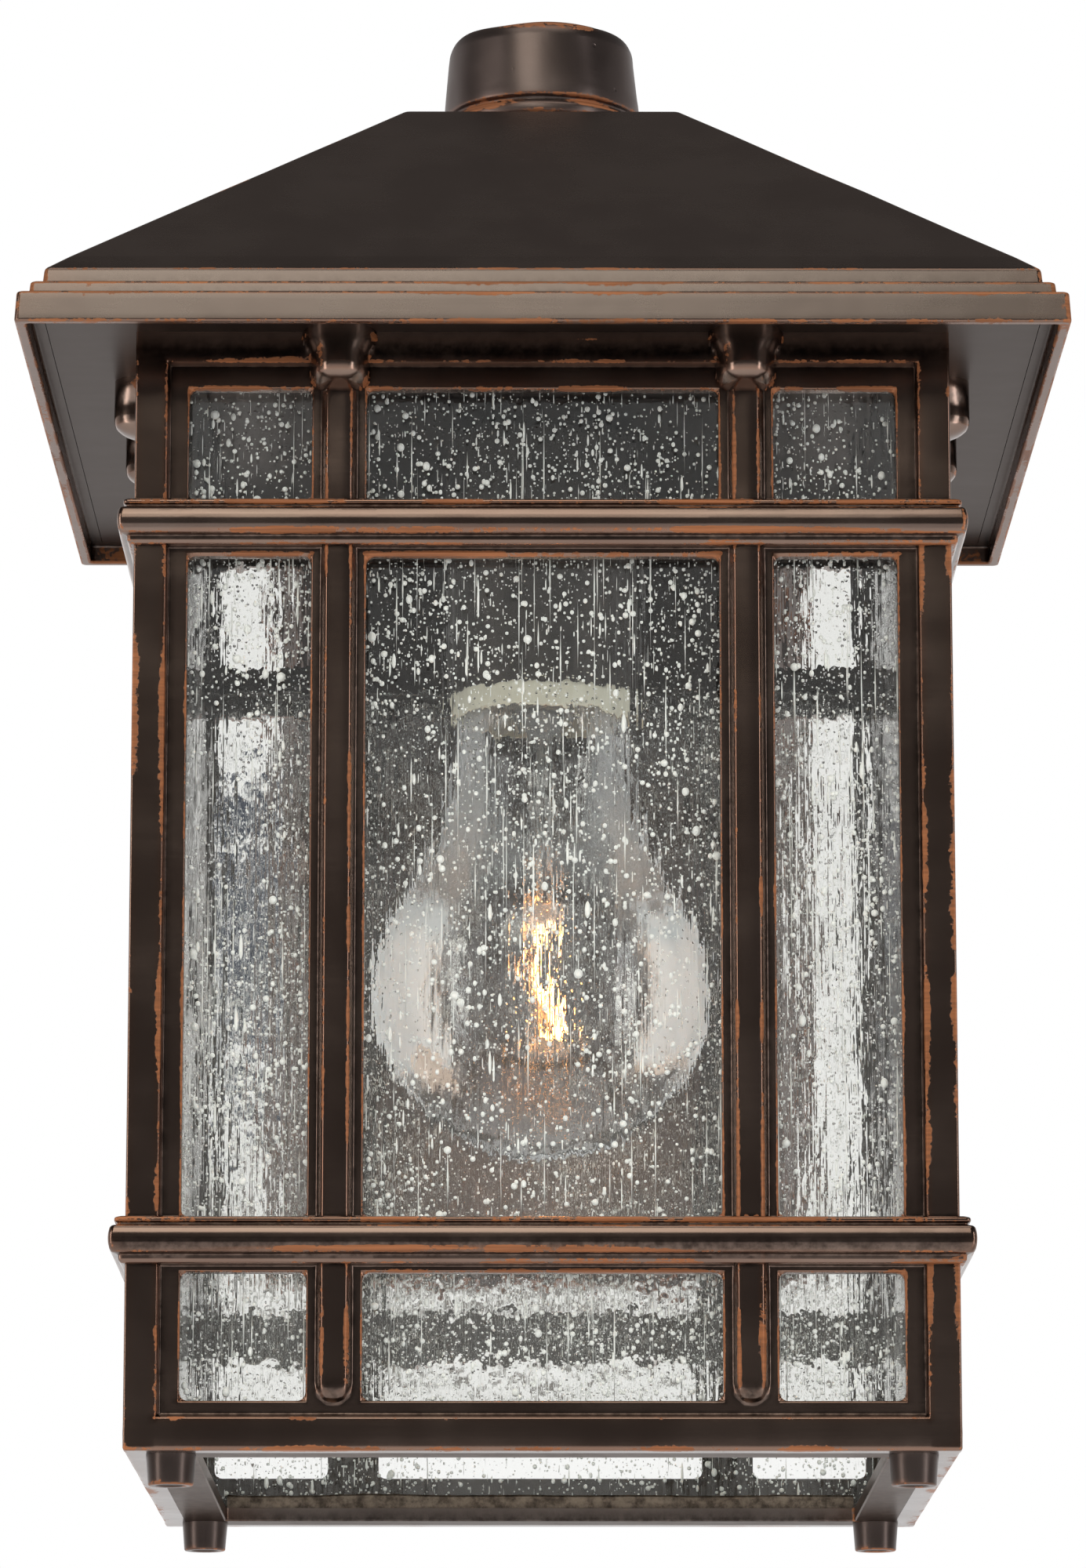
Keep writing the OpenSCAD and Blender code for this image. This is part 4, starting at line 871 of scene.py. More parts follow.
def panel(name, node, mullions, degrees, closed_cell=False):
    """One cast side with its openings, turned to its place."""
    cells = panel_openings(mullions, closed_cell)
    xs, zs = grid_lines(mullions)
    columns = panel_face(xs, zs, cells, mullions, degrees)
    points = [place for column in columns for place in column]
    wide, rows = len(columns) - 1, len(zs)
    arcs = (len(columns) - len(xs)) // 2
    faces, walls = [], []

    def is_open(i, j):
        if not (arcs <= i < wide - arcs and 0 <= j < rows - 1):
            return False
        return holds(cells, 0.5 * (xs[i - arcs] + xs[i - arcs + 1]), 0.5 * (zs[j] + zs[j + 1]))

    for i in range(wide):
        for j in range(rows - 1):
            if is_open(i, j):
                continue
            a, b, c, d = i * rows + j, (i + 1) * rows + j, (i + 1) * rows + j + 1, i * rows + j + 1
            faces.append((a, b, c, d))
            edges = (((i - 1, j), (a, d)), ((i + 1, j), (c, b)), ((i, j - 1), (b, a)), ((i, j + 1), (d, c)))
            walls += [edge for other, edge in edges if is_open(*other)]
    behind = {}

    def back_point(index):
        if index not in behind:
            x, _, z = points[index]
            behind[index] = len(points)
            points.append((max(-BACK, min(BACK, x)), -BACK, z))
        return behind[index]

    faces += [(a, b, back_point(b), back_point(a)) for a, b in walls]
    feet = [(i * rows, (i + 1) * rows) for i in range(wide)]
    faces += [(b, a, back_point(a), back_point(b)) for a, b in feet]
    front_count = len(faces)
    flat_x = sorted({-BACK, BACK} | {c[0] for c in cells} | {c[1] for c in cells})
    flat_z = sorted({BODY_LOW, SOFFIT} | {c[2] for c in cells} | {c[3] for c in cells})
    for x0, x1 in zip(flat_x, flat_x[1:]):
        for z0, z1 in zip(flat_z, flat_z[1:]):
            if not holds(cells, 0.5 * (x0 + x1), 0.5 * (z0 + z1)):
                faces.append(tuple(range(len(points), len(points) + 4)))
                points += [(x0, -BACK, z0), (x0, -BACK, z1), (x1, -BACK, z1), (x1, -BACK, z0)]
    obj = make(name, turned_about((points, faces), degrees), BRONZE, node)
    # Window reveals, the underside and the inner faces take the darker copy: painted shade.
    obj.data.materials.append(SHADED_INSIDE)
    obj.data.polygons.foreach_set("material_index", [0] * front_count + [1] * (len(faces) - front_count))
    return obj


# %% Make the panels
TWO, THREE = (-34.5, 34.5), (-34.5, 0.0, 34.5)
RUBBED = (((-38.0, -71.5, 160.3), (24.0, 3.0, 0.6)), ((30.0, -71.5, 160.4), (30.0, 3.0, 0.4)),
          ((-48.0, -70.0, 191.0), (8.0, 2.0, 0.6)), ((-37.6, -73.0, 190.0), (0.9, 2.5, 3.4)),
          ((31.4, -73.0, 190.5), (0.9, 2.5, 2.6)), ((-34.5, -71.6, 186.6), (3.2, 1.6, 0.6)),
          ((34.5, -71.6, 186.6), (3.2, 1.6, 0.6)), ((-20.0, -71.5, 38.3), (34.0, 3.0, 0.5)),
          ((-45.0, -69.5, 11.0), (16.0, 1.5, 0.8)), ((36.5, -69.0, 30.0), (0.8, 2.0, 9.0)),
          ((-36.6, -69.0, 26.0), (0.8, 2.0, 8.0)), ((-32.4, -69.0, 22.0), (0.8, 2.0, 7.0)))
SPARED = (((0.0, -69.0, 10.9), (55.0, 3.0, 0.7)), ((0.0, -69.0, 13.2), (60.0, 3.0, 0.5)),
          ((-34.5, -69.0, 13.0), (4.2, 3.0, 3.2)), ((34.5, -69.0, 13.0), (4.2, 3.0, 3.2)))
# Painted shade: the lower half of the lower band, the top rail under the hood and the feet of the beads.
SHADE_PATCHES = (((0.0, -71.0, 38.9), (200.0, 4.0, 1.5)), ((0.0, -69.0, 192.2), (140.0, 4.0, 2.4)),
           ((-34.5, -69.0, 14.6), (2.6, 3.0, 2.0)), ((34.5, -69.0, 14.6), (2.6, 3.0, 2.0)))
front = panel("front_casting", "front_panel", TWO, 0.0)
for place, size in RUBBED:
    rub(front, place, size, 1.5)
for place, size in SPARED:
    spare(front, place, size)
for place, size in SHADE_PATCHES:
    paint_shade(front, place, size)
panel("back_casting", "back_panel", TWO, 180.0, closed_cell=True)
panel("left_casting", "left_panel", THREE, -90.0)
panel("right_casting", "right_panel", THREE, 90.0)

# %% [markdown]
# ## Hood
# The hood is pressed and cast in one: a rim that hangs a little below the soffit, two shallow steps and a
# pyramid roof. Its outline is drawn once, from the inside of the rim up to the roof's flat top, its corners
# are rounded, and it is swept round a square. Broad faces get a slight unevenness, as on a real casting.
# Copper shows in patches inside the rim at the back, and as thin lines on the edges in front.

# %% Hood
RIM_LOW = 192.0
SLOPE_ROWS = 7
hood_outline = supported(rounded(
    [(84.3, SOFFIT), (86.5, SOFFIT), (86.5, RIM_LOW), (88.5, RIM_LOW), (88.15, FASCIA_TOP),
     (86.25, FASCIA_TOP), (86.0, STEP_1_TOP), (84.15, STEP_1_TOP), (83.85, STEP_2_TOP),
     (80.0, STEP_2_TOP + 3.2), (24.4, ROOF_TOP), (20.0, ROOF_TOP)], 0.55, 4))
hood_rows = []
for (w0, z0), (w, z) in zip([hood_outline[0]] + hood_outline, hood_outline):
    if w < 80.5 and w0 - w > 20.0:
        hood_rows += [(w0 + t * (w - w0), z0 + t * (z - z0)) for t in np.arange(1, SLOPE_ROWS) / SLOPE_ROWS]
    hood_rows.append((w, z))
hood_rows += [(12.0, ROOF_TOP), (5.5, ROOF_TOP)]
hood_profile = [(w, w, z, 0.9 if w > 24.0 else 0.9 + (24.0 - w) * 0.35) for w, z in hood_rows]
hood_shape = framed(hood_profile, arc=4, along=10)
for row in hood_shape[0]:
    ripple = noise.noise(Vector((row[0] * 0.035, row[1] * 0.035, row[2] * 0.06)))
    on_slope = float(s_curve((row[2] - 203.0) / 10.0)) * float(s_curve((ROOF_TOP - row[2]) / 6.0))
    row[2] += 0.18 * ripple * on_slope
hood = make("hood_casting", hood_shape, BRONZE_HOOD, "hood", spread=0.36)
hood.data.materials.append(SHADED_UNDERSIDE)
# The soffit under the rim takes the darker underside copy: painted shade.
for face in hood.data.polygons:
    out = max(abs(face.center.x), abs(face.center.y + REACH * MM))
    if -0.4 * MM < face.center.z - (SOFFIT - DROP) * MM < 0.2 * MM and out < 86.4 * MM:
        face.material_index = 1
for side in (-1.0, 0.0, 1.0):
    rub(hood, (60.0 * side, 86.5, 193.9), (34.0, 1.2, 1.8), 1.2)
for height in (RIM_LOW, FASCIA_TOP, STEP_1_TOP, STEP_2_TOP):
    rub(hood, (0.0, -85.5, height), (120.0, 6.0, 0.28), 0.9)
print("hood rows:", len(hood_rows))

# %% [markdown]
# ## Finial
# The finial is a short tapered knob with a flared ring at its foot and a groove above it. It is turned, but
# its casting is a little out of round, so the lathe shape gets a slow wobble, and its crown sags a little.

# %% Finial
FINIAL_Z = ROOF_TOP + 1.0
finial_outline = supported(rounded(
    [(0.0, 0.0), (17.2, 0.0), (18.6, 1.0), (18.55, 2.7), (17.8, 3.3), (17.15, 3.5), (17.2, 4.1), (17.9, 4.5),
     (17.85, 6.0), (16.75, 16.9), (16.1, 18.6), (13.0, 19.8), (6.0, 20.3), (0.0, 20.35)], 0.8, 4), 1.6)
finial_outline = [p for p in finial_outline if p[1] < 19.9 or p[0] > 12.0]
finial_outline += [(11.5, 19.98), (10.0, 20.07), (8.5, 20.17), (7.0, 20.25), (5.0, 20.3), (3.0, 20.33),
                   (0.0, 20.35)]
finial_shape = turned([(r, z + FINIAL_Z) for r, z in finial_outline], 96, wobble=0.12)
for row in finial_shape[0]:
    lump = noise.noise(Vector((row[0] * 0.11, row[1] * 0.11, row[2] * 0.07)))
    row[:2] *= 1.0 - 0.030 * (0.5 + lump)
    sag = 0.5 + noise.noise(Vector((row[0] * 0.09 + 7.0, row[1] * 0.09, 1.0)))
    row[2] -= 0.45 * sag * float(s_curve((row[2] - FINIAL_Z - 14.0) / 5.0))
knob = make("finial_knob", finial_shape, KNOB, "finial", body="finial")
rub(knob, (2.5, -15.0, FINIAL_Z + 18.8), (12.0, 4.0, 1.5), 3.4)
rub(knob, (-11.0, -13.0, FINIAL_Z + 3.0), (10.0, 7.0, 1.2))
rub(knob, (10.0, -15.0, FINIAL_Z + 3.3), (6.0, 6.0, 0.8))

# %% [markdown]
# ## Base ring and feet
# Under the body a flat flange holds the panes, and four stubby tapered feet stand on its corners. Their tips
# are worn and slightly hollow.

# %% Base ring and feet
RING_IN, RING_OUT, RING_LOW, RING_TOP, FOOT_AT = 57.5, 64.97, 5.1, 7.5, 61.5
ring_rows = [(RING_IN, RING_TOP, 0.6), (RING_OUT, RING_TOP, 0.2), (RING_OUT, RING_LOW, 0.2),
             (RING_IN + 0.25, RING_LOW, 0.7), (RING_IN, RING_LOW + 0.25, 0.6), (RING_IN, RING_TOP, 0.6)]
ring_shape = framed([(w, w, z, r) for w, z, r in ring_rows], arc=3, along=8)
make("base_flange", ring_shape, FLANGE, "base_ring")
foot_outline = rounded([(0.0, 0.35), (2.2, 0.35), (2.6, 0.0), (3.75, 0.0), (4.1, 4.6), (4.15, 5.12)], 0.35, 3)
feet = [turned(supported(foot_outline, 0.8), 40, (FOOT_AT * sx, FOOT_AT * sy), 0.05)
        for sx in (-1, 1) for sy in (-1, 1)]
make("feet_posts", joined(*feet), FOOT, "feet")

# %% [markdown]
# ## Glass stops
# Thin strips stand on the flange and hold the feet of the panes. They are cut from sheet and bent by hand, so
# their top edge and their inner face wander a little, and their finish is paler than the castings.

# %% Glass stops
STOP_FOOT, STOP_TOP, STOP_IN, STOP_OUT, STOP_HALF, STOP_STEPS = 7.52, 10.1, 59.3, 61.8, 57.4, 56
stops = []
for side in range(4):
    rows = []
    for k in range(STOP_STEPS + 1):
        x = STOP_HALF * (2.0 * k / STOP_STEPS - 1.0)
        rise = 0.4 * noise.noise(Vector((x * 0.05, side * 7.0, 0.0)))
        rise += 0.12 * noise.noise(Vector((x * 0.5, side, 3.0)))
        lean = 0.55 * noise.noise(Vector((x * 0.045, side * 5.0, 9.0)))
        top, inner = STOP_TOP + rise, STOP_IN + lean
        rows.append([(x, -STOP_OUT, STOP_FOOT), (x, -inner - 0.1, STOP_FOOT), (x, -inner, STOP_FOOT + 0.2),
                     (x, -inner - 0.05, top - 0.35), (x, -inner - 0.35, top), (x, -STOP_OUT, top)])
    width = len(rows[0])
    faces = [(a, d, c, b) for a, b, c, d in belts(len(rows), width)]
    faces += [tuple(range(width)), tuple(reversed(range(STOP_STEPS * width, len(rows) * width)))]
    stops.append(turned_about((np.array(rows).reshape(-1, 3), faces), side * 90.0))
make("stop_strips", joined(*stops), STRIP, "lower_glass_stops")

# %% [markdown]
# ## Panes and bubbles
# A bubble is a small closed skin facing inwards, so a ray leaves the glass there and enters it again. Most
# are tiny and round, some are drawn out into upright tears. Their sizes and places come from a seeded
# generator. A speck has eight faces, a middling bubble is an icosahedron, and a large one is split once more.

# %% Bubble shapes
GOLDEN = (1.0 + math.sqrt(5.0)) / 2.0
BALL = np.array([np.roll((x, y * GOLDEN, 0.0), k) for k in range(3) for y in (1, -1) for x in (-1, 1)])
BALL /= np.linalg.norm(BALL[0])
BALL_FACES = [(0, 11, 5), (0, 5, 1), (0, 1, 7), (0, 7, 10), (0, 10, 11), (1, 5, 9), (5, 11, 4), (11, 10, 2),
              (10, 7, 6), (7, 1, 8), (3, 9, 4), (3, 4, 2), (3, 2, 6), (3, 6, 8), (3, 8, 9), (4, 9, 5),
              (2, 4, 11), (6, 2, 10), (8, 6, 7), (9, 8, 1)]


def finer(points, faces):
    """Split each triangle in four and push the new points out to the ball."""
    points = [tuple(p) for p in points]
    middles, result = {}, []

    def middle(a, b):
        key = (min(a, b), max(a, b))
        if key not in middles:
            place = np.add(points[a], points[b])
            middles[key] = len(points)
            points.append(tuple(place / np.linalg.norm(place)))
        return middles[key]

    for a, b, c in faces:
        ab, bc, ca = middle(a, b), middle(b, c), middle(c, a)
        result += [(a, ab, ca), (b, bc, ab), (c, ca, bc), (ab, bc, ca)]
    return np.array(points), result


def inward(shape):
    """A shape whose faces look the other way."""
    return shape[0], [tuple(reversed(face)) for face in shape[1]]


SPECK = np.array([(1, 0, 0), (0, 1, 0), (-1, 0, 0), (0, -1, 0), (0, 0, 1), (0, 0, -1)], float)
SPECK_FACES = [(0, 1, 4), (1, 2, 4), (2, 3, 4), (3, 0, 4), (1, 0, 5), (2, 1, 5), (3, 2, 5), (0, 3, 5)]
SMALL, MIDDLING = inward((SPECK, SPECK_FACES)), inward((BALL, BALL_FACES))
LARGE = inward(finer(BALL, BALL_FACES))

# %% Bubbles and sheets
PANE_OUT, PANE_IN, GROUND = -64.93, -62.03, 0.25


def bubbles(count, big, threads, piece, seed):
    """Bubble skins inside a sheet. Threads are very long thin skins whose white share paints upright
    reflection streaks.
    """
    dice = np.random.default_rng(seed)
    skins = []
    x0, x1, z0, z1 = piece[0] + 1.2, piece[1] - 1.2, piece[2] + 1.5, piece[3] - 1.5
    for k in range(count + big):
        x, z = dice.uniform(x0, x1), dice.uniform(z0, z1)
        drift = noise.noise(Vector((x * 0.06, seed, z * 0.022)))
        if drift < dice.uniform(-0.9, 0.3):
            continue
        if k < count:
            radius = min(0.44, 0.17 * math.exp(dice.normal() * 0.42))
        else:
            radius = min(0.80, 0.36 + dice.exponential(0.11))
        ball, faces = SMALL if radius < 0.20 else MIDDLING if radius <= 0.36 else LARGE
        tall = 1.0 + (dice.exponential(3.5) if dice.random() < 0.20 else dice.exponential(0.12))
        slim = 1.0 / math.sqrt(tall)
        deep = dice.uniform(-64.8 + radius, -62.2 - radius)
        shape = ball * [radius * slim, radius * min(slim, 0.9), radius * tall ** 0.8]
        taper = 1.0 - 0.35 * (ball[:, 2:3] * 0.5 + 0.5) * min(1.0, (tall - 1.0) * 0.5)
        skins.append((shape * np.concatenate([taper, taper, np.ones_like(taper)], 1) + [x, deep, z], faces))
    for _ in range(threads):
        length, thin = dice.uniform(2.0, 4.0) + dice.exponential(4.0), dice.uniform(0.07, 0.15)
        length = min(length, 16.0)
        x, z = dice.uniform(x0, x1), dice.uniform(z0 + length, z1 - length)
        skins.append(moved(SMALL, [x, dice.uniform(-64.6, -62.4), z], [thin, thin, length]))
    return joined(*skins)


def slab(x0, x1, z0, z1):
    """A flat sheet with ground edges."""
    points = []
    for cut, y in ((GROUND, PANE_OUT), (0.0, PANE_OUT + GROUND), (0.0, PANE_IN - GROUND), (GROUND, PANE_IN)):
        points += [(x, y, z) for x, z in ((x0 + cut, z0 + cut), (x1 - cut, z0 + cut),
                                          (x1 - cut, z1 - cut), (x0 + cut, z1 - cut))]
    faces = [(b, a, d, c) for a, b, c, d in belts(4, 4)]
    return np.array(points), faces + [(0, 1, 2, 3), (15, 14, 13, 12)]


def pane(name, node, degrees, count, big, threads, seed, pieces):
    """A seeded pane in one or more pieces, with its bubbles in the first."""
    sheets = joined(*(slab(*piece) for piece in pieces))
    seeds = bubbles(count, big, threads, pieces[0], seed)
    shape = turned_about(joined(sheets, seeds), degrees)
    obj = make(name, shape, SEEDED, node, sharp=180.0, marks=False)
    # Bubble faces take the seed skin, whose white share is a painted glint.
    obj.data.materials.append(SEED_SKIN)
    is_seed = [False] * len(sheets[1]) + [True] * len(seeds[1])
    obj.data.polygons.foreach_set("material_index", [int(seed_face) for seed_face in is_seed])
    obj.data.polygons.foreach_set("use_smooth", is_seed)
    print(name, "triangles:", len(seeds[1]))


# %% Make the panes
PANE_HALF, PANE_LOW, PANE_TOP = 61.45, 7.55, 194.95
ARM_GAP, CUT_LOW, CUT_HIGH = 32.3, 161.1, 161.7
whole = [(-PANE_HALF, PANE_HALF, PANE_LOW, PANE_TOP)]
parted = [(-PANE_HALF, PANE_HALF, PANE_LOW, CUT_LOW), (-PANE_HALF, -ARM_GAP, CUT_HIGH, PANE_TOP),
          (ARM_GAP, PANE_HALF, CUT_HIGH, PANE_TOP)]
pane("front_pane", "front_glass", 0.0, 30000, 1100, 300, 3, whole)
pane("left_pane", "left_glass", -90.0, 6000, 300, 100, 5, whole)
pane("right_pane", "right_glass", 90.0, 6000, 300, 100, 7, whole)
pane("back_pane", "back_glass", 180.0, 25000, 1000, 260, 9, parted)

# %% [markdown]
# ## Bulb
# A clear household bulb hangs cap up. Its glass is one thin blown skin: a globe, a hollow shoulder and a
# neck. Inside, a flared stem ends in a flat press, and two wires and a bead on a stalk hold the coil.

# %% Bulb glass
GLOBE_Z, GLOBE_R, NECK_R, SHOULDER_R = 93.3, 30.0, 14.7, 50.0
CAP_Z, CAP_R = 149.8, 11.98
BLOWN_SKIN = 0.55
shoulder_x = NECK_R + SHOULDER_R
shoulder_z = GLOBE_Z + math.sqrt((GLOBE_R + SHOULDER_R) ** 2 - shoulder_x ** 2)
shoulder_turn = math.atan2(shoulder_z - GLOBE_Z, shoulder_x)


def bulb_skin(skin):
    """The bulb's glass, shrunk by its thickness for the inside."""
    globe, hollow = GLOBE_R - skin, SHOULDER_R + skin
    outline = [(0.0, GLOBE_Z - globe)]
    for a in -math.pi / 2 + (shoulder_turn + math.pi / 2) * np.arange(1, 33) / 32:
        outline.append((globe * math.cos(a), GLOBE_Z + globe * math.sin(a)))
    for a in math.pi + shoulder_turn * (1.0 - np.arange(1, 19) / 18.0):
        outline.append((shoulder_x + hollow * math.cos(a), shoulder_z + hollow * math.sin(a)))
    outline += [(NECK_R - skin, CAP_Z - 4.0), (CAP_R - skin, CAP_Z), (CAP_R - skin, CAP_Z + 1.1 - skin)]
    return turned(outline + [(0.0, CAP_Z + 1.15 - skin)], 72)


make("bulb_shell", joined(bulb_skin(0.0), inward(bulb_skin(BLOWN_SKIN))), BLOWN, "bulb_glass",
     body="bulb", sharp=60.0, marks=False)

# %% Stem, wires and filament
flare = turned([(0.0, 109.4), (1.6, 109.5), (1.9, 111.0), (2.0, 130.0), (2.6, 137.0), (5.0, 142.0),
                (9.4, 148.6), (9.4, 149.2), (0.0, 149.6)], 32)
press = turned(rounded([(0.0, 103.5), (2.9, 103.5), (3.15, 104.2), (3.0, 108.6), (1.5, 110.0), (0.0, 110.2)],
                       0.6, 3), 24)
bead = turned(rounded([(0.0, 82.5), (1.6, 82.7), (1.9, 84.0), (1.4, 85.2), (0.0, 85.3)], 0.5, 3), 20)
stalk = tube([(-2.3, 0.0, 104.0), (-2.45, 0.0, 97.0), (-2.3, 0.0, 84.5)], 0.45, 10)
flat_press = moved(press, [0.0, 0.0, 0.0], [1.0, 0.5, 1.0])
flat_bead = moved(bead, [0.6, 0.0, 0.0], [1.7, 0.6, 1.0])
stem = joined(flare, flat_press, flat_bead, stalk)
make("bulb_stem_glass", stem, PRESS, "bulb_stem", body="bulb")

COIL_LOW, COIL_HIGH = np.array([2.4, 0.0, 84.6]), np.array([-0.8, 0.0, 105.6])
COIL_TURNS, COIL_STEPS, COIL_R, COIL_WIRE = 34, 10, 0.62, 0.3
coil = []
for k in range(COIL_TURNS * COIL_STEPS + 1):
    t = k / (COIL_TURNS * COIL_STEPS)
    spin = 2.0 * math.pi * k / COIL_STEPS
    sway = np.array([1.2 * math.sin(t * 8.0), 0.3 * math.cos(t * 7.0), 0.0])
    turn = [COIL_R * math.cos(spin), COIL_R * math.sin(spin), 0.0]
    coil.append(COIL_LOW + (COIL_HIGH - COIL_LOW) * t + sway + turn)
make("bulb_coil", tube(coil, COIL_WIRE, 5), GLOW, "bulb_filament", body="bulb", marks=False)

wires = [[coil[-1], (0.3, 0.0, 102.9), (0.6, 0.0, 104.2)], [coil[0], (2.5, 0.0, 85.6), (2.2, 0.0, 84.6)],
         [(2.6, 0.0, 104.4), (2.9, 0.1, 100.0), (2.7, 0.2, 98.6)]]
leads = joined(*(tube(path, 0.2, 8) for path in wires))
make("bulb_leads", leads, SOLDER, "bulb_wires", body="bulb", marks=False)

glow_lamp = bpy.data.lights.new("filament_light", "POINT")
glow_lamp.energy = 0.007
glow_lamp.color = (1.0, 0.60, 0.28)
glow_lamp.shadow_soft_size = 0.004
glow_object = bpy.data.objects.new("filament_light", glow_lamp)
glow_object.location = lantern([(1.2, 0.0, 94.0)])[0]
bpy.context.scene.collection.objects.link(glow_object)
glow_object.visible_camera = False
glow_object.visible_transmission = False
glow_object.visible_glossy = False

# %% Bulb cap and socket
PITCH, THREADS, ROOT_R, CREST_R = 3.63, 5, 12.65, 13.08
cap_profile = [(11.4, CAP_Z), (ROOT_R, CAP_Z), (ROOT_R, CAP_Z + 2.6)]
for k in range(THREADS):
    z = CAP_Z + 3.0 + k * PITCH
    cap_profile += [(ROOT_R, z), (12.95, z + 0.8), (CREST_R, z + 1.6), (12.95, z + 2.4), (ROOT_R, z + 3.2)]
cap_profile += [(ROOT_R, 172.6), (12.2, 173.6), (11.0, 174.3), (0.0, 174.3)]
liner_rows = rounded([(15.2, 185.4), (15.2, 142.1), (16.22, 142.1), (16.22, 185.4)], 0.3, 3)
cup_rows = rounded([(16.3, 193.0), (16.3, 146.2), (17.0, 146.2), (17.0, 192.6), (15.6, 194.0),
                    (5.2, 194.0)], 0.25, 3)
make("bulb_cap_shell", turned(cap_profile, 72), ALLOY, "bulb_cap", body="bulb")
make("liner_sleeve", turned(liner_rows, 72, wobble=0.10), CREAM, "socket_liner")
make("cup_shell", turned(cup_rows, 72), CUP, "socket_cup")

# %% [markdown]
# ## Arm, collars and wall plate
# The arm is a short tube from the back panel's solid cell to the wall plate. The plate is pressed with one
# step and a bevelled front, and two cap nuts hold it on the studs. They use rounded outlines like the hood's.

# %% Arm and collars
COLLAR_IN, COLLAR_OUT = 67.62, 91.98
on_arm = [0.0, 0.0, ARM_Z]
arm_rows = [(4.9, 59.5), (6.1, 59.5), (6.34, 59.8), (6.34, 97.3), (6.1, 97.6), (4.9, 97.6), (4.85, 97.0),
            (4.85, 60.0), (4.9, 59.5)]
make("arm_pipe", moved(turned(arm_rows, 48, along_y=True), on_arm), BRONZE, "arm_tube")
collar_rows = rounded([(6.38, 0.0), (9.5, 0.0), (9.5, 2.1), (8.7, 3.0), (6.38, 3.0)], 0.4, 3)
inner_collar = turned([(r, COLLAR_IN + z) for r, z in collar_rows], 48, along_y=True)
outer_collar = inward(turned([(r, COLLAR_OUT - z) for r, z in collar_rows], 48, along_y=True))
make("arm_rings", moved(joined(inner_collar, outer_collar), on_arm), BRONZE, "arm_collars")

# %% Wall plate and cap nuts
PLATE_OUT, STUD_X = 16.0, 38.1
plate_rows = rounded([(52.0, 1.0), (52.0, 5.0), (49.5, 5.0), (49.5, 8.5), (46.0, PLATE_OUT),
                      (40.0, PLATE_OUT)], 0.9, 4)
plate_rows = [(50.4, 5.0), (50.4, 1.0)] + supported(plate_rows)
plate_profile = [(w, w + 27.5, out, 1.6 if w > 45.0 else 2.0) for w, out in plate_rows]
plate_profile += [(20.0, 40.0, PLATE_OUT, 2.0), (0.5, 20.0, PLATE_OUT, 0.4)]
make("plate_shell", on_wall(framed(plate_profile, arc=4, along=8, capped=True)), KNOB, "wall_plate",
     to_scene=wall)
nut_collar = turned([(3.6, 16.3), (5.25, 16.3), (5.25, 17.1), (5.0, 17.3), (4.4, 17.35)], 40)
nut_hexagon = turned([(4.25, 17.3), (4.75, 17.6), (4.85, 18.0), (4.85, 20.0), (4.7, 20.35), (3.95, 20.5)], 6)
dome_rows = [(3.85 * math.cos(a), 20.95 + 3.85 * math.sin(a)) for a in np.linspace(0.0, math.pi / 2, 9)[:-1]]
nut_dome = turned([(3.85, 20.4)] + dome_rows + [(0.0, 24.8)], 40)
for name, node, x in (("left_nut", "left_cap_nut", -STUD_X), ("right_nut", "right_cap_nut", STUD_X)):
    shape = moved(on_wall(joined(nut_collar, nut_hexagon, nut_dome)), [x, 0.0, 0.0])
    make(name, shape, BRONZE, node, body=node, to_scene=wall)

# %% [markdown]
# ## Leads
# Two insulated leads run from the socket up over the cup, out through the arm and down to the connectors.
# A green one goes to the ground screw. They are round tubes on smooth curves along the CAD's own routes.


# %% Leads
LEAD_R, LEAD_PARTS = 1.04, 5


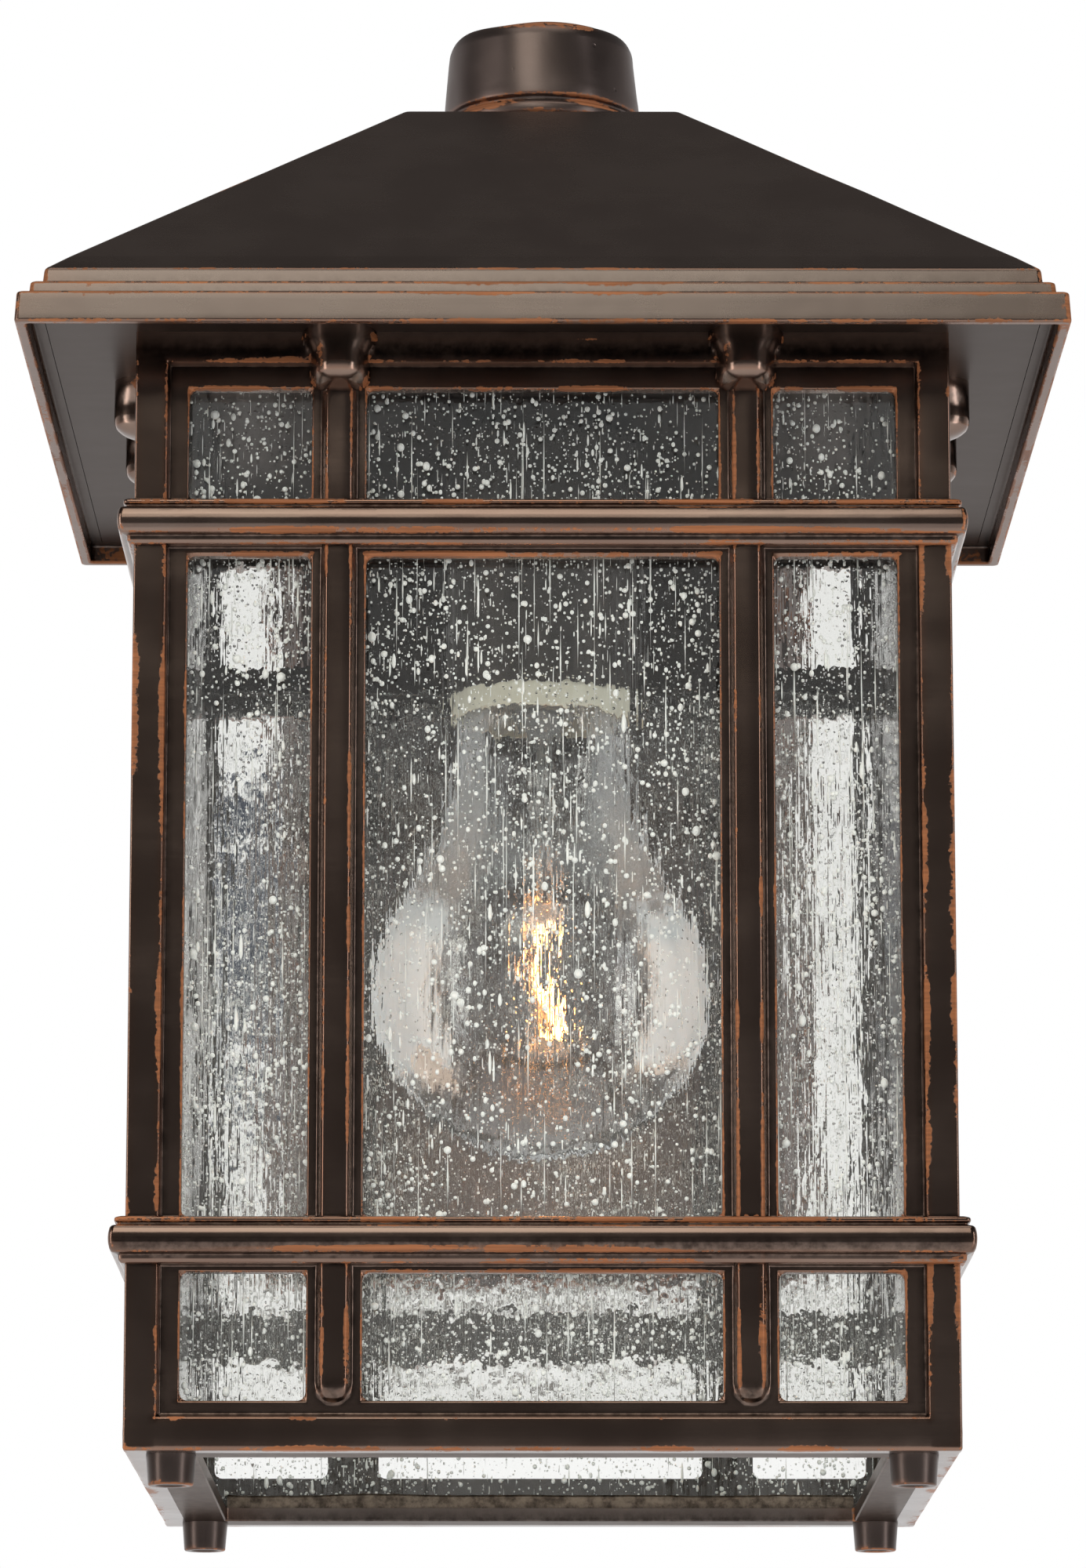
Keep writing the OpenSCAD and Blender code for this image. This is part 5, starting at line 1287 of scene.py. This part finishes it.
def smooth_path(route):
    """A smooth curve through the route's points."""
    route = [np.array(p, float) for p in route]
    result = []
    for i in range(len(route) - 1):
        p0, p1, p2 = route[max(i - 1, 0)], route[i], route[i + 1]
        p3 = route[min(i + 2, len(route) - 1)]
        for t in np.arange(LEAD_PARTS) / LEAD_PARTS:
            result.append(0.5 * (2 * p1 + (p2 - p0) * t + (2 * p0 - 5 * p1 + 4 * p2 - p3) * t * t
                                 + (3 * p1 - p0 - 3 * p2 + p3) * t ** 3))
    return result + [route[-1]]


def lead_route(side):
    """Route of a lead from the socket to its connector."""
    rows = [(6, 5, 183.5), (6, 5.3, 186.5), (4, 9, 188.5), (1.6, 15, 188.5), (1.6, 22, 188.5),
            (1.6, 34, 185.5), (1.6, 46, 177.95), (1.6, 56, ARM_Z), (1.6, 68, ARM_Z), (1.6, 80.5, ARM_Z),
            (1.6, 94, ARM_Z), (1.6, 99, 175.55), (3, 102, 170.95), (6, 102, 161.95), (12, 101.5, 147.95),
            (18, 100.5, 131.95), (20, 100.5, 116.0), (20, 100.5, 109.0)]
    return [(side * x, y, z) for x, y, z in rows]


ground_route = [(7.85, 97.75, ARM_Z), (12, 97.75, 169.95), (14, 97.75, 159.95), (14, 97.75, 145.95),
                (12.5, 97.75, 131.5), (10, 99.75, 121.5), (8, 102.6, 114.5)]
for name, node, route, material, slot in (
        ("black_wire", "hot_lead", lead_route(-1), LEAD_BLACK, "black_lead"),
        ("white_wire", "neutral_lead", lead_route(1), LEAD_WHITE, "white_lead"),
        ("green_wire", "ground_lead", ground_route, LEAD_GREEN, "green_lead")):
    make(name, tube(smooth_path(route), LEAD_R, 12), material, node, marks=False)

# %% [markdown]
# ## Pieces kept from the CAD model
# The remaining small pieces already have the right shape. They only get a finish in place of the grey one.

# %% Dress the kept nodes
# The ceiling plate takes the darker underside copy: painted shade.
# The cross strap and the upper stops take the darker inside copy: painted shade.
kept = {
    "ceiling_plate": SHADED_UNDERSIDE, "upper_glass_stops": SHADED_INSIDE, "cross_strap": SHADED_INSIDE, "panel_screws": ZINC,
    "finial_seat": KNOB, "threaded_rod": ZINC, "rod_nuts": ZINC, "strap_screws": ZINC,
    "socket_base": PHENOLIC, "screw_shell": BRASS, "centre_contact": BRASS, "bulb_insulator": PHENOLIC,
    "bulb_tip": SOLDER, "arm_lock_nuts": ZINC, "plate_gasket": FOAM, "mounting_bar": STEEL,
    "plate_studs": ZINC, "ground_screw": GREEN, "wire_connectors": ORANGE,
}
for node_name, material in kept.items():
    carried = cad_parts[node_name]
    carried.data.materials.clear()
    carried.data.materials.append(material)
print("kept nodes:", len(kept))
